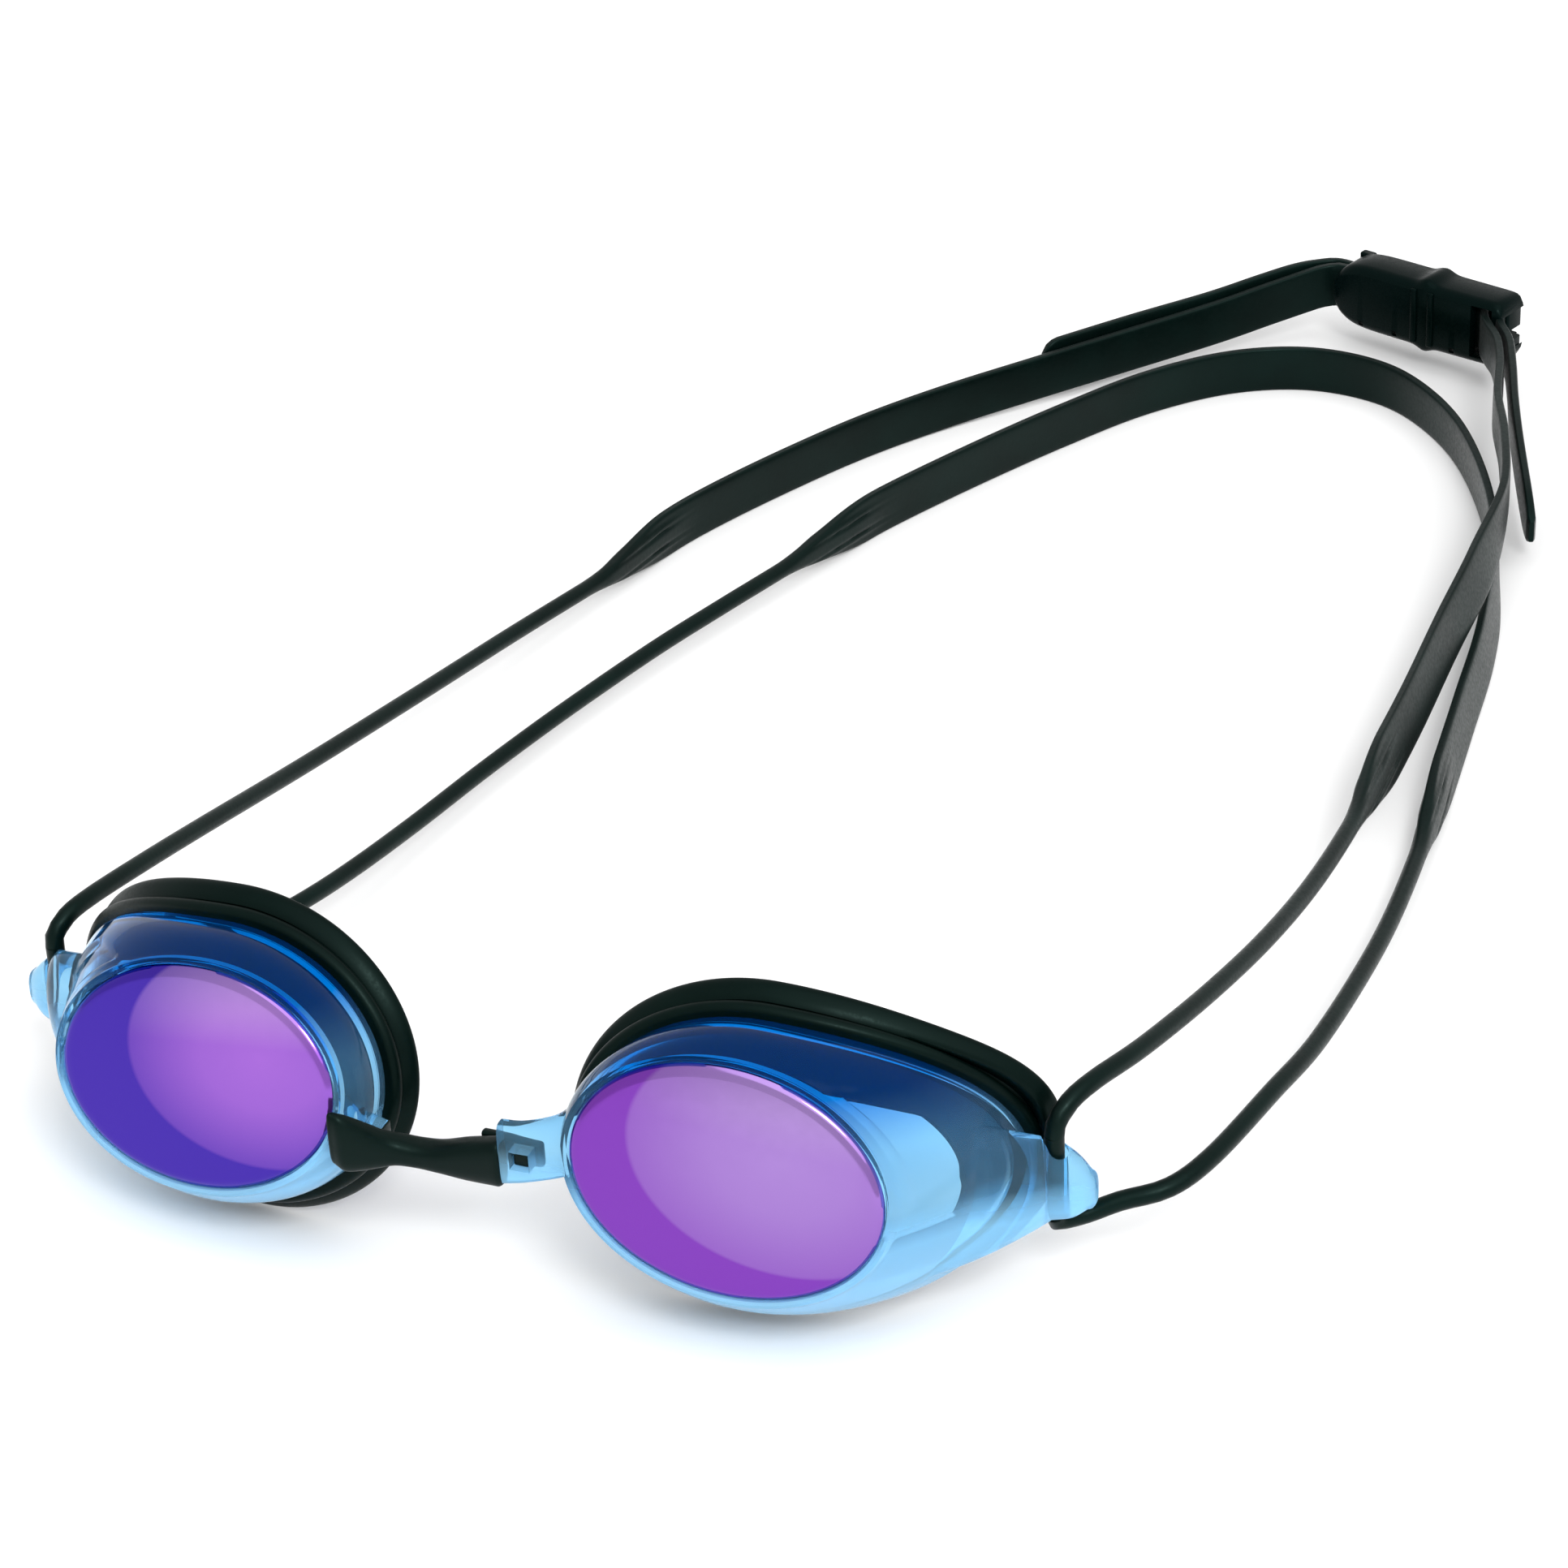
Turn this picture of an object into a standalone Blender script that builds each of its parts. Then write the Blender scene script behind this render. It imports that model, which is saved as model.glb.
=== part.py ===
"""Swim goggles with a split strap.

Frame: metres, +Z up, +X to the right as seen from the front, +Y towards the back of the head,
origin on the floor under the middle of the overall box.  "left" and "right" in names are as
seen from the front.
Lengths below are in millimetres in the goggles' own datum: X = 0 on the symmetry plane of the
two cups, Y = 0 at the lens centres, Z = 0 on the floor.  DATUM places that datum in the frame.
"""
import math

import bmesh
import bpy
from mathutils import Matrix, Vector

MM = 0.001
DATUM = (-7.92, -141.04, -0.16)      # the goggles' datum in the part's frame

# ---- driving dimensions (mm, degrees) ----
LENS_SPACING = 68.0                  # between the two lens centres
LENS_HEIGHT = 24.0                   # lens centres above the floor
WRAP, TILT = 4.3, 13.4               # each lens turns outwards by WRAP and looks up by TILT
LENS_TURN = -7.9                     # the lens oval's outer end dips
SEAL_TURN = -3.0                     # the seal oval dips less
SEAL_SHIFT = (0.9, -0.7)             # the seal oval's middle, out and up from the lens's
# half axes to the temple, to the nose and up, depth, and how far the temple end sweeps back
FLANGE = (29.2, 21.6, 17.4, 8.0, 13.5)
LIP = (31.2, 23.6, 20.4, 13.7, 11.5)
LENS_LONG, LENS_TALL = 18.9, 13.9    # half axes of the lens
LENS_THICK, LENS_BEVEL = 1.4, 1.5
RIM = 1.3                            # cup rim around the lens
WALL = 1.4                           # cup wall
LEDGE = 2.4                          # how far the ledge behind the lens reaches in
GAP = 0.3                            # between touching pieces
EYE = (65.9, 22.5, 16.8)             # middle of each temple eye: the strap turns about it
EYE_HOLE = 1.65                      # radius of the eye's hole
CORD = 1.2                           # radius of the strap's round cord
BAND_TALL, BAND_THICK = 7.4, 1.4     # the strap's flat band
TAPER = 22.0                         # length over which a cord widens to the band
ROUND_STEPS = 56                     # points round each cup

BLUE = (0.03, 0.22, 0.62)
PURPLE = (0.33, 0.12, 0.62)
BLACK = (0.012, 0.018, 0.018)


def clear_scene():
    for obj in list(bpy.data.objects):
        bpy.data.objects.remove(obj)


def material(name, color, roughness, metallic=0.0):
    mat = bpy.data.materials.new(name)
    mat.use_nodes = True
    shader = mat.node_tree.nodes["Principled BSDF"]
    shader.inputs["Base Color"].default_value = (*color, 1.0)
    shader.inputs["Roughness"].default_value = roughness
    shader.inputs["Metallic"].default_value = metallic
    return mat


def empty(name, place, parent=None):
    """An empty at a datum place, for pieces to hang from."""
    obj = bpy.data.objects.new(name, None)
    bpy.context.collection.objects.link(obj)
    obj["place"] = place
    base = parent["place"] if parent else (0.0, 0.0, 0.0)
    obj.parent = parent
    obj.location = [(place[i] - base[i]) * MM for i in range(3)]
    return obj


def solid(name, points, faces, mat, parent):
    """A closed mesh from datum points in mm, with its origin on its parent empty."""
    base = Vector(parent["place"])
    mesh = bpy.data.meshes.new(name)
    mesh.from_pydata([(Vector(p) - base) * MM for p in points], [], faces)
    bm = bmesh.new()
    bm.from_mesh(mesh)
    bmesh.ops.recalc_face_normals(bm, faces=bm.faces)
    bm.to_mesh(mesh)
    bm.free()
    mesh.shade_smooth()
    mesh.set_sharp_from_angle(angle=math.radians(35))
    mesh.materials.append(mat)
    obj = bpy.data.objects.new(name, mesh)
    bpy.context.collection.objects.link(obj)
    obj.parent = parent
    return obj


def helper(obj):
    obj.hide_render = True
    obj.display_type = "WIRE"
    return obj


def boolean(target, tool, operation):
    mod = target.modifiers.new(operation.lower() + "_" + tool.name, "BOOLEAN")
    mod.operation = operation
    mod.solver = "EXACT"
    mod.object = helper(tool)


def rings_to_faces(rings, steps, closed):
    """Quads between rings of equal length; closed joins the last ring to the first."""
    faces = []
    for r in range(rings if closed else rings - 1):
        here, there = r * steps, (r + 1) % rings * steps
        for i in range(steps):
            j = (i + 1) % steps
            faces.append((here + i, here + j, there + j, there + i))
    if not closed:
        faces.append(tuple(range(steps))[::-1])
        faces.append(tuple(range((rings - 1) * steps, rings * steps)))
    return faces


# ---- the cups' local frame: out (towards the temple), up, deep (away from the front) ----
def cup_point(side, out, up, deep):
    wrap, tilt = math.radians(WRAP), math.radians(TILT)
    across = Vector((math.cos(wrap), math.sin(wrap), 0))
    front = Vector((math.sin(wrap), -math.cos(wrap), 0))
    normal = math.cos(tilt) * front + math.sin(tilt) * Vector((0, 0, 1))
    rise = -math.sin(tilt) * front + math.cos(tilt) * Vector((0, 0, 1))
    place = out * across + up * rise - deep * normal
    return Vector((side * (LENS_SPACING / 2 + place.x), place.y, LENS_HEIGHT + place.z))


def oval(angle, long_out, long_in, tall, turn, grow=0.0):
    """A point of an egg outline: angle 0 is the temple end, grow offsets it outwards."""
    reach = (long_out if math.cos(angle) > 0 else long_in) + grow
    x, z = reach * math.cos(angle), (tall + grow) * math.sin(angle)
    turn = math.radians(turn)
    return x * math.cos(turn) - z * math.sin(turn), x * math.sin(turn) + z * math.cos(turn)


def lens_outline(angle, grow):
    return oval(angle, LENS_LONG, LENS_LONG, LENS_TALL, LENS_TURN, grow)


def seal_outline(angle, long_out, long_in, tall, depth, sweep, grow):
    """The egg where the gasket meets the cup or the face, swept back at the temple."""
    out, up = oval(angle, long_out, long_in, tall, SEAL_TURN, grow)
    back = depth + sweep * max(0.0, math.cos(angle)) ** 2
    return out + SEAL_SHIFT[0], up + SEAL_SHIFT[1], back


def flange(angle, grow):
    return seal_outline(angle, *FLANGE, grow)


def lip(angle, grow):
    return seal_outline(angle, *LIP, grow)


def around(side, profile):
    """Rings round a cup: profile(angle) gives one cross-section's (out, up, deep) points."""
    angles = [2 * math.pi * i / ROUND_STEPS for i in range(ROUND_STEPS)]
    sections = [profile(a) for a in angles]
    points = []
    for k in range(len(sections[0])):
        points += [cup_point(side, *section[k]) for section in sections]
    return points, rings_to_faces(len(sections[0]), ROUND_STEPS, True)


def cup_profile(angle):
    def lens_at(grow, deep):
        return (*lens_outline(angle, grow), deep)

    def blend(t, inset):
        front, back = lens_outline(angle, RIM - inset), flange(angle, -inset)
        start = 0.9 + inset
        return tuple(f + (b - f) * t for f, b in zip((*front, start), back))

    foot = flange(angle, 0.0)
    heel = flange(angle, -WALL)
    return [
        lens_at(GAP, LENS_THICK + GAP), lens_at(GAP, 0.5), lens_at(RIM * 0.8, 0.3),
        blend(0.0, 0.0), blend(0.33, 0.0), blend(0.66, 0.0), foot,
        (foot[0], foot[1], foot[2] + WALL), (heel[0], heel[1], heel[2] + WALL),
        blend(0.66, WALL), blend(0.3, WALL + 0.2),
        lens_at(-LEDGE, LENS_THICK + GAP + 1.4), lens_at(-LEDGE, LENS_THICK + GAP)]


def gasket_profile(angle):
    def on_flange(grow, deeper):
        out, up, deep = flange(angle, grow)
        return out, up, deep + WALL + GAP + deeper

    def on_lip(grow, deeper):
        out, up, deep = lip(angle, grow)
        return out, up, deep + deeper

    return [
        on_flange(-1.5, 0.0), on_flange(0.8, 0.0), on_flange(1.3, 0.7), on_flange(0.8, 1.5),
        on_lip(-1.0, -2.0), on_lip(0.2, -0.5), on_lip(-0.5, 0.0), on_lip(-2.6, -0.4),
        on_lip(-4.6, -1.8), on_flange(-2.3, 1.4)]


def slab(side, sections):
    """A rounded beam through (x, y, z, half thickness in Y, half height in Z) sections."""
    steps = 12
    points = []
    for x, y, z, thick, tall in sections:
        for i in range(steps):
            a = 2 * math.pi * i / steps
            c, s = math.cos(a), math.sin(a)
            squarer = (abs(c) ** 4 + abs(s) ** 4) ** -0.25
            points.append((side * x, y + thick * c * squarer, z + tall * s * squarer))
    return points, rings_to_faces(len(sections), steps, False)


def box(low, high):
    points = [(x, y, z) for x in (low[0], high[0]) for y in (low[1], high[1])
              for z in (low[2], high[2])]
    faces = [(0, 1, 3, 2), (4, 6, 7, 5), (0, 4, 5, 1), (2, 3, 7, 6), (0, 2, 6, 4), (1, 5, 7, 3)]
    return points, faces


def cylinder(centre, radius, low, high, steps=20):
    points = []
    for z in (low, high):
        points += [(centre[0] + radius * math.cos(2 * math.pi * i / steps),
                    centre[1] + radius * math.sin(2 * math.pi * i / steps), z)
                   for i in range(steps)]
    return points, rings_to_faces(2, steps, False)


# the temple lug's beam: its sections run from inside the cup's wall to the rounded tip
LUG = [(54.0, 14.0, 20.2, 2.2, 9.8), (58.0, 16.8, 18.7, 2.5, 8.5), (62.0, 19.5, 17.2, 2.7, 6.5),
       (EYE[0], EYE[1], 16.5, 2.9, 4.5), (68.8, 23.0, 15.6, 2.3, 3.5), (70.2, 23.3, 15.3, 1.2, 1.9)]
# the nose arms: the right one is long and shows its socket, the left one hides behind the bridge
NOSE_ARM = {1: [(16.4, 4.4, 24.2, 1.0, 4.6), (14.4, 3.2, 23.9, 1.2, 4.7),
                (12.0, 2.5, 22.6, 1.2, 4.2), (8.0, 2.2, 21.2, 1.2, 4.1), (5.0, 2.2, 20.6, 1.2, 4.3)],
            -1: [(16.4, 4.4, 23.6, 1.0, 4.2), (14.2, 3.5, 22.2, 1.1, 3.6), (9.9, 3.4, 20.8, 1.1, 3.1)]}
SOCKET = {1: (7.6, 20.3), -1: (11.8, 20.9)}   # X and Z of each arm's socket
SOCKET_HALF = 1.25


def make_cup(side, name, mat, datum):
    cup = solid(name, *around(side, cup_profile), mat, datum)
    boolean(cup, solid(name + "_lug", *slab(side, LUG), mat, datum), "UNION")
    boolean(cup, solid(name + "_arm", *slab(side, NOSE_ARM[side]), mat, datum), "UNION")
    eye = cylinder((side * EYE[0], EYE[1]), EYE_HOLE, EYE[2] - 9, EYE[2] + 9)
    boolean(cup, solid(name + "_eye", *eye, mat, datum), "DIFFERENCE")
    x, z = SOCKET[side]
    socket = box((side * x - SOCKET_HALF, -3, z - SOCKET_HALF),
                 (side * x + SOCKET_HALF, 7, z + SOCKET_HALF))
    boolean(cup, solid(name + "_socket", *socket, mat, datum), "DIFFERENCE")


def make_lens(side, name, mat, datum):
    """A flat oval window with a bevelled edge."""
    points = []
    for grow, deep in ((-LENS_BEVEL, 0.0), (0.0, 0.6), (0.0, LENS_THICK)):
        for i in range(ROUND_STEPS):
            angle = 2 * math.pi * i / ROUND_STEPS
            points.append(cup_point(side, *lens_outline(angle, grow), deep))
    solid(name, points, rings_to_faces(3, ROUND_STEPS, False), mat, datum)


def make_bridge(mat, datum):
    """The soft dog-bone: a hook block over the left arm, a thin waist, a block at the right arm."""
    body = slab(1, [(-15.0, -3.0, 21.2, 1.0, 3.2), (-13.0, -2.7, 20.9, 1.3, 3.7),
                    (-11.0, -1.2, 20.4, 1.5, 3.3), (-9.4, -0.3, 19.7, 1.6, 2.5),
                    (-8.0, 1.0, 18.9, 1.7, 2.0),
                    (-5.6, 1.8, 18.3, 1.8, 1.6), (-3.0, 2.1, 18.2, 1.9, 1.8),
                    (0.4, 2.3, 18.5, 1.9, 2.6), (4.5, 2.3, 19.0, 1.8, 3.2)])
    bridge = solid("nose_bridge", *body, mat, datum)
    half = SOCKET_HALF - GAP
    x, z = SOCKET[-1]
    stud = box((-x - half, -0.6, z - half), (-x + half, 4.9, z + half))
    boolean(bridge, solid("bridge_left_stud", *stud, mat, datum), "UNION")
    x, z = SOCKET[1]
    tongue = box((1.5, 3.75, z - 2.0), (x + 1.9, 4.9, z + 1.3))
    boolean(bridge, solid("bridge_tongue", *tongue, mat, datum), "UNION")
    stud = box((x - half, 1.6, z - half), (x + half, 4.5, z + half))
    boolean(bridge, solid("bridge_right_stud", *stud, mat, datum), "UNION")


# ---- strap: each stretch is a hand-picked route through the middle of its section ----
UPPER_LEFT_CORD = [
    (-65.9, 22.5, 22.4), (-65.9, 22.7, 23.7), (-65.1, 24.8, 25.6), (-64.3, 29.5, 25.8),
    (-63.5, 40.5, 24.1), (-63.2, 55.0, 21.0), (-63.0, 85.0, 14.0), (-61.0, 114.0, 9.0),
    (-58.0, 140.0, 5.6), (-54.4, 158.5, 4.1)]
UPPER_LEFT_BAND = [
    (-54.3, 159.0, 4.1), (-52.8, 165.0, 3.9), (-50.2, 178.0, 3.9), (-46.9, 188.3, 3.9),
    (-40.4, 203.2, 3.9), (-32.5, 218.6, 3.9), (-23.5, 231.9, 4.1), (-13.0, 243.8, 4.8),
    (0.5, 258.3, 5.8), (11.2, 268.3, 7.2), (18.0, 274.5, 8.5), (23.2, 279.1, 9.5),
    (25.6, 281.1, 9.9), (28.2, 282.2, 10.1), (31.0, 281.3, 10.1), (36.7, 279.2, 10.1),
    (42.3, 277.3, 10.1)]
LOWER_LEFT_CORD = [
    (-65.9, 22.5, 11.2), (-65.9, 22.8, 10.1), (-64.5, 27.0, 9.2), (-61.2, 35.0, 9.5),
    (-56.5, 47.0, 9.3), (-52.4, 60.0, 8.4), (-50.6, 72.0, 6.9), (-49.0, 88.0, 5.1),
    (-46.5, 106.0, 4.2), (-42.7, 124.5, 3.9), (-37.5, 144.5, 3.9), (-32.8, 159.6, 3.9),
    (-28.6, 172.4, 3.9)]
LOWER_LEFT_BAND = [
    (-28.4, 172.9, 3.9), (-23.0, 189.8, 3.9), (-19.5, 199.0, 3.9), (-11.8, 215.2, 3.9),
    (-3.0, 231.8, 3.9)]
LOWER_BACK_BAND = [
    (-2.8, 232.2, 3.9), (6.0, 246.4, 3.9), (16.5, 257.2, 3.9), (28.0, 262.2, 3.9),
    (39.5, 261.1, 3.9), (48.8, 255.2, 3.9), (58.5, 243.1, 3.9)]
LOWER_RIGHT_BAND = [
    (58.7, 242.7, 3.9), (67.4, 224.5, 3.9), (73.6, 204.7, 3.9), (77.8, 182.0, 3.9),
    (79.8, 161.3, 3.9), (81.4, 143.3, 3.9), (83.2, 122.5, 4.2)]
LOWER_RIGHT_CORD = [
    (65.9, 22.5, 11.2), (66.0, 22.8, 10.2), (68.6, 25.4, 9.9), (72.2, 27.3, 11.2),
    (77.4, 30.0, 12.5), (80.6, 37.0, 13.0), (83.3, 52.3, 12.4), (84.8, 69.0, 10.0),
    (84.7, 97.4, 6.2), (83.3, 121.8, 4.2)]
UPPER_RIGHT_CORD = [
    (65.9, 22.5, 22.4), (66.0, 22.7, 23.8), (67.0, 24.8, 25.9), (68.7, 29.0, 26.6),
    (71.5, 39.0, 25.4), (74.0, 56.7, 22.0), (75.5, 76.0, 18.0), (75.9, 96.0, 14.0),
    (75.7, 115.5, 11.3)]
UPPER_RIGHT_BAND = [
    (75.7, 116.0, 11.3), (75.2, 130.0, 10.3), (75.0, 150.0, 10.0), (74.6, 171.0, 10.5),
    (74.8, 190.0, 11.9), (73.5, 209.0, 12.5), (69.5, 226.0, 12.2), (64.8, 241.0, 11.2),
    (62.0, 254.0, 10.5), (59.6, 262.0, 10.2), (57.2, 266.6, 10.1), (55.7, 269.6, 10.1),
    (55.2, 271.6, 10.1), (53.6, 273.2, 10.1), (49.9, 274.6, 10.1), (46.2, 275.95, 10.1)]
LEFT_TAIL = [
    (21.2, 280.0, 10.1), (16.4, 275.9, 9.3), (9.6, 269.7, 8.1), (-1.2, 259.8, 6.9),
    (-12.1, 248.1, 6.0)]
RIGHT_TAIL = [
    (59.1, 267.2, 10.1), (61.5, 262.4, 10.1), (64.0, 254.2, 9.9), (66.8, 244.0, 9.4),
    (70.2, 233.0, 8.5), (74.4, 220.5, 7.2), (77.2, 212.5, 6.4)]
LEAN_FROM, LEAN_OVER = 212.0, 24.0   # the right bands lean over in front of this Y, growing over this
UPPER_LEAN, LOWER_LEAN = 30.0, 10.0  # how far their tops lean inwards (degrees)


def smooth_route(route, spacing):
    """Points along a Catmull-Rom curve through the route, about spacing apart."""
    knots = [Vector(p) for p in route]
    ends = [2 * knots[0] - knots[1]] + knots + [2 * knots[-1] - knots[-2]]
    points = [knots[0]]
    for a, b, c, d in zip(ends, ends[1:], ends[2:], ends[3:]):
        count = max(1, round((c - b).length / spacing))
        for i in range(1, count + 1):
            t = i / count
            points.append(0.5 * (2 * b + (c - a) * t + (2 * a - 5 * b + 4 * c - d) * t * t
                                 + (3 * b - a - 3 * c + d) * t ** 3))
    return points


def lean_over(sideways, height, y, lean):
    """Turns a section so that its top leans by up to lean degrees, away from sideways."""
    t = min(1.0, max(0.0, (LEAN_FROM - y) / LEAN_OVER))
    angle = math.radians(lean) * t * t * (3 - 2 * t)
    return (math.cos(angle) * sideways + math.sin(angle) * height,
            math.cos(angle) * height - math.sin(angle) * sideways)


def sweep(route, spacing, section, steps, lean=0.0):
    """A tube whose section(distance along, total) gives (half thickness, half height, power)."""
    points = smooth_route(route, spacing)
    along = [0.0]
    for p, q in zip(points, points[1:]):
        along.append(along[-1] + (q - p).length)
    # the height direction is carried along the route, so it never flips at the vertical ends
    height = Vector((0, 0, 1))
    first = points[1] - points[0]
    if abs(first.normalized().z) > 0.8:
        height = Vector((0, -1, 0)) if first.z > 0 else Vector((0, 1, 0))
    verts = []
    for i, p in enumerate(points):
        tangent = (points[min(i + 1, len(points) - 1)] - points[max(i - 1, 0)]).normalized()
        upright = Vector((0, 0, 1)) if abs(tangent.z) < 0.7 else height
        height = (upright - upright.dot(tangent) * tangent).normalized()
        sideways, top = lean_over(tangent.cross(height), height, p.y, lean)
        thick, tall, power = section(along[i], along[-1])
        for k in range(steps):
            a = 2 * math.pi * k / steps + math.pi / steps
            c, s = math.cos(a), math.sin(a)
            squarer = (abs(c) ** power + abs(s) ** power) ** (-1 / power)
            verts.append(p + sideways * thick * c * squarer + top * tall * s * squarer)
    return verts, rings_to_faces(len(points), steps, False)


def cord_section(at, total):
    return CORD, CORD, 2.0


def band_section(taper_at_start, taper_at_end):
    """A flat band that draws in to the round cord over TAPER mm at the marked ends."""
    def section(at, total):
        near = [at] if taper_at_start else []
        near += [total - at] if taper_at_end else []
        t = min(1.0, min(near) / TAPER) if near else 1.0
        t = t * t * (3 - 2 * t)
        return (CORD + (BAND_THICK / 2 - CORD) * t, CORD + (BAND_TALL / 2 - CORD) * t,
                2.0 + 6.0 * t)
    return section


def tail_section(at, total):
    """A flat tail with a rounded free end."""
    left = max(0.0, total - at)
    tall = BAND_TALL / 2 * min(1.0, 0.45 + 0.55 * math.sqrt(min(1.0, left / 3.0)))
    return BAND_THICK / 2, tall, 6.0


def make_cord(name, route, mat, parent):
    solid(name, *sweep(route, 3.6, cord_section, 8), mat, parent)


def make_band(name, route, start, end, lean, mat, parent):
    solid(name, *sweep(route, 5.0, band_section(start, end), 8, lean), mat, parent)


def make_tail(name, route, mat, parent):
    solid(name, *sweep(route, 4.0, tail_section, 8), mat, parent)


# ---- buckle: a shallow channel that both ends of the strap run through ----
BUCKLE_CENTRE = (44.0, 275.8, 10.3)
BUCKLE_TURN = -19.2                  # its length runs this many degrees off +X
BUCKLE_LONG, BUCKLE_TALL = 33.0, 12.0
BUCKLE_PLATE = (-2.2, -0.6)          # depths of the plate on the head's side
BUCKLE_BARS = (3.6, 5.0)             # depths of the bars on the outer side
BUCKLE_RAIL = 1.5                    # height of the rails above and below the strap
PLATE_END = 10.6                     # the plate stops here, where the right strap passes in
POST = 1.3                           # half width of the centre post
HOOK_GAP = 1.4                       # opening of the C-hook at the right end


def make_buckle(mat, parent):
    turn = Matrix.Rotation(math.radians(BUCKLE_TURN), 3, "Z")

    def block(name, low, high):
        points, faces = box(low, high)
        return solid(name, [Vector(BUCKLE_CENTRE) + turn @ Vector(p) for p in points],
                     faces, mat, parent)

    half, tall = BUCKLE_LONG / 2, BUCKLE_TALL / 2
    proud = 0.2                      # each joined block stands this proud, so no faces coincide
    buckle = block("buckle", (-half, BUCKLE_PLATE[0], proud - tall),
                   (PLATE_END, BUCKLE_PLATE[1], tall - proud))
    for label, low, high in (("top", tall - BUCKLE_RAIL, tall), ("bottom", -tall, BUCKLE_RAIL - tall)):
        rail = block("buckle_rail_" + label, (proud - half, -1.5, low),
                     (half - proud, BUCKLE_BARS[1] + proud, high))
        boolean(buckle, rail, "UNION")
    for label, x, width in (("left", 2.0 - half, 1.5), ("post", 0.0, POST), ("right", half - 2.0, 1.5)):
        bar = block("buckle_bar_" + label, (x - width, BUCKLE_BARS[0], 0.5 - tall),
                    (x + width, BUCKLE_BARS[1], tall - 0.5))
        boolean(buckle, bar, "UNION")
    hook = block("buckle_hook", (half - 1.5, 0.4, 0.6 - tall),
                 (half - 0.4, BUCKLE_BARS[1] - proud, tall - 0.6))
    boolean(buckle, hook, "UNION")
    gap = block("buckle_hook_gap", (half - 2.0, 0.0, -HOOK_GAP / 2 - 1.0),
                (half + 1.0, BUCKLE_BARS[1] + 1.0, HOOK_GAP / 2 - 1.0))
    boolean(buckle, gap, "DIFFERENCE")


def build():
    clear_scene()
    blue = material("clear_blue", BLUE, 0.1)
    purple = material("purple_mirror", PURPLE, 0.08, 0.6)
    seal = material("seal_black", BLACK, 0.5)
    silicone = material("silicone_black", BLACK, 0.45)
    buckle_black = material("buckle_black", BLACK, 0.4)

    frame = empty("part_frame", (0.0, 0.0, 0.0))
    frame.location = [d * MM for d in DATUM]
    front = empty("front_datum", (0.0, 0.0, LENS_HEIGHT), frame)
    swing = empty("strap_axis", (0.0, EYE[1], EYE[2]), frame)

    for side, name in ((-1, "left"), (1, "right")):
        make_cup(side, name + "_cup", blue, front)
        make_lens(side, name + "_lens", purple, front)
        solid(name + "_gasket", *around(side, gasket_profile), seal, front)
        through = [(side * EYE[0], EYE[1], EYE[2] + dz) for dz in (5.0, 1.7, -1.7, -5.0)]
        make_cord(name + "_eye_cord", through, silicone, front)
    make_bridge(seal, front)

    make_cord("upper_left_cord", UPPER_LEFT_CORD, silicone, swing)
    make_band("upper_left_band", UPPER_LEFT_BAND, True, False, 0.0, silicone, swing)
    make_cord("upper_right_cord", UPPER_RIGHT_CORD, silicone, swing)
    make_band("upper_right_band", UPPER_RIGHT_BAND, True, False, UPPER_LEAN, silicone, swing)
    make_cord("lower_left_cord", LOWER_LEFT_CORD, silicone, swing)
    make_band("lower_left_band", LOWER_LEFT_BAND, True, False, 0.0, silicone, swing)
    make_band("lower_back_band", LOWER_BACK_BAND, False, False, 0.0, silicone, swing)
    make_band("lower_right_band", LOWER_RIGHT_BAND, False, True, -LOWER_LEAN, silicone, swing)
    make_cord("lower_right_cord", LOWER_RIGHT_CORD, silicone, swing)
    make_tail("left_tail", LEFT_TAIL, silicone, swing)
    make_tail("right_tail", RIGHT_TAIL, silicone, swing)
    make_buckle(buckle_black, swing)


build()
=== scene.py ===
"""Swim goggles: the finished looks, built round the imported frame.

Lengths are in millimetres in the goggles' own datum: X = 0 on the symmetry plane of the two
cups, Y = 0 at the lens centres, Z = 0 on the floor.  The datum's place in the frame is read
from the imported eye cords.
"""
import math

import bmesh
import bpy
from mathutils import Matrix, Vector


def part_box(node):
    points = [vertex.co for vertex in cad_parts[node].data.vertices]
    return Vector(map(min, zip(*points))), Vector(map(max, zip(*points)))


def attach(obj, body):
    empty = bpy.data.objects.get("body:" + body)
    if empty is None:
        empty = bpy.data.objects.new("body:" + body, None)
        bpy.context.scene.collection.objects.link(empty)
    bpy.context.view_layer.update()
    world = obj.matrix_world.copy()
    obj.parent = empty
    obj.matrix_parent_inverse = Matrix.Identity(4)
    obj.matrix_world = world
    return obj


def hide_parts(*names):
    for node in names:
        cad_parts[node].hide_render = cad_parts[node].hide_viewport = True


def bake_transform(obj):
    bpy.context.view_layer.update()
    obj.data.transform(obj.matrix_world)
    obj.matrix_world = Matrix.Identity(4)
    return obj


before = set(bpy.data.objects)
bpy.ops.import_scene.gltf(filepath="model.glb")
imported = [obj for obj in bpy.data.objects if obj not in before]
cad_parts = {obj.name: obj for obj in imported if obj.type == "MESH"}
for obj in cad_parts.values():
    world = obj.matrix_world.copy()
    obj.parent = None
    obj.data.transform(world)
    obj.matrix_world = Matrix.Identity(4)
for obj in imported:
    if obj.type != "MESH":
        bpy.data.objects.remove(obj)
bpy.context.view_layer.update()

MM = 0.001

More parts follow.
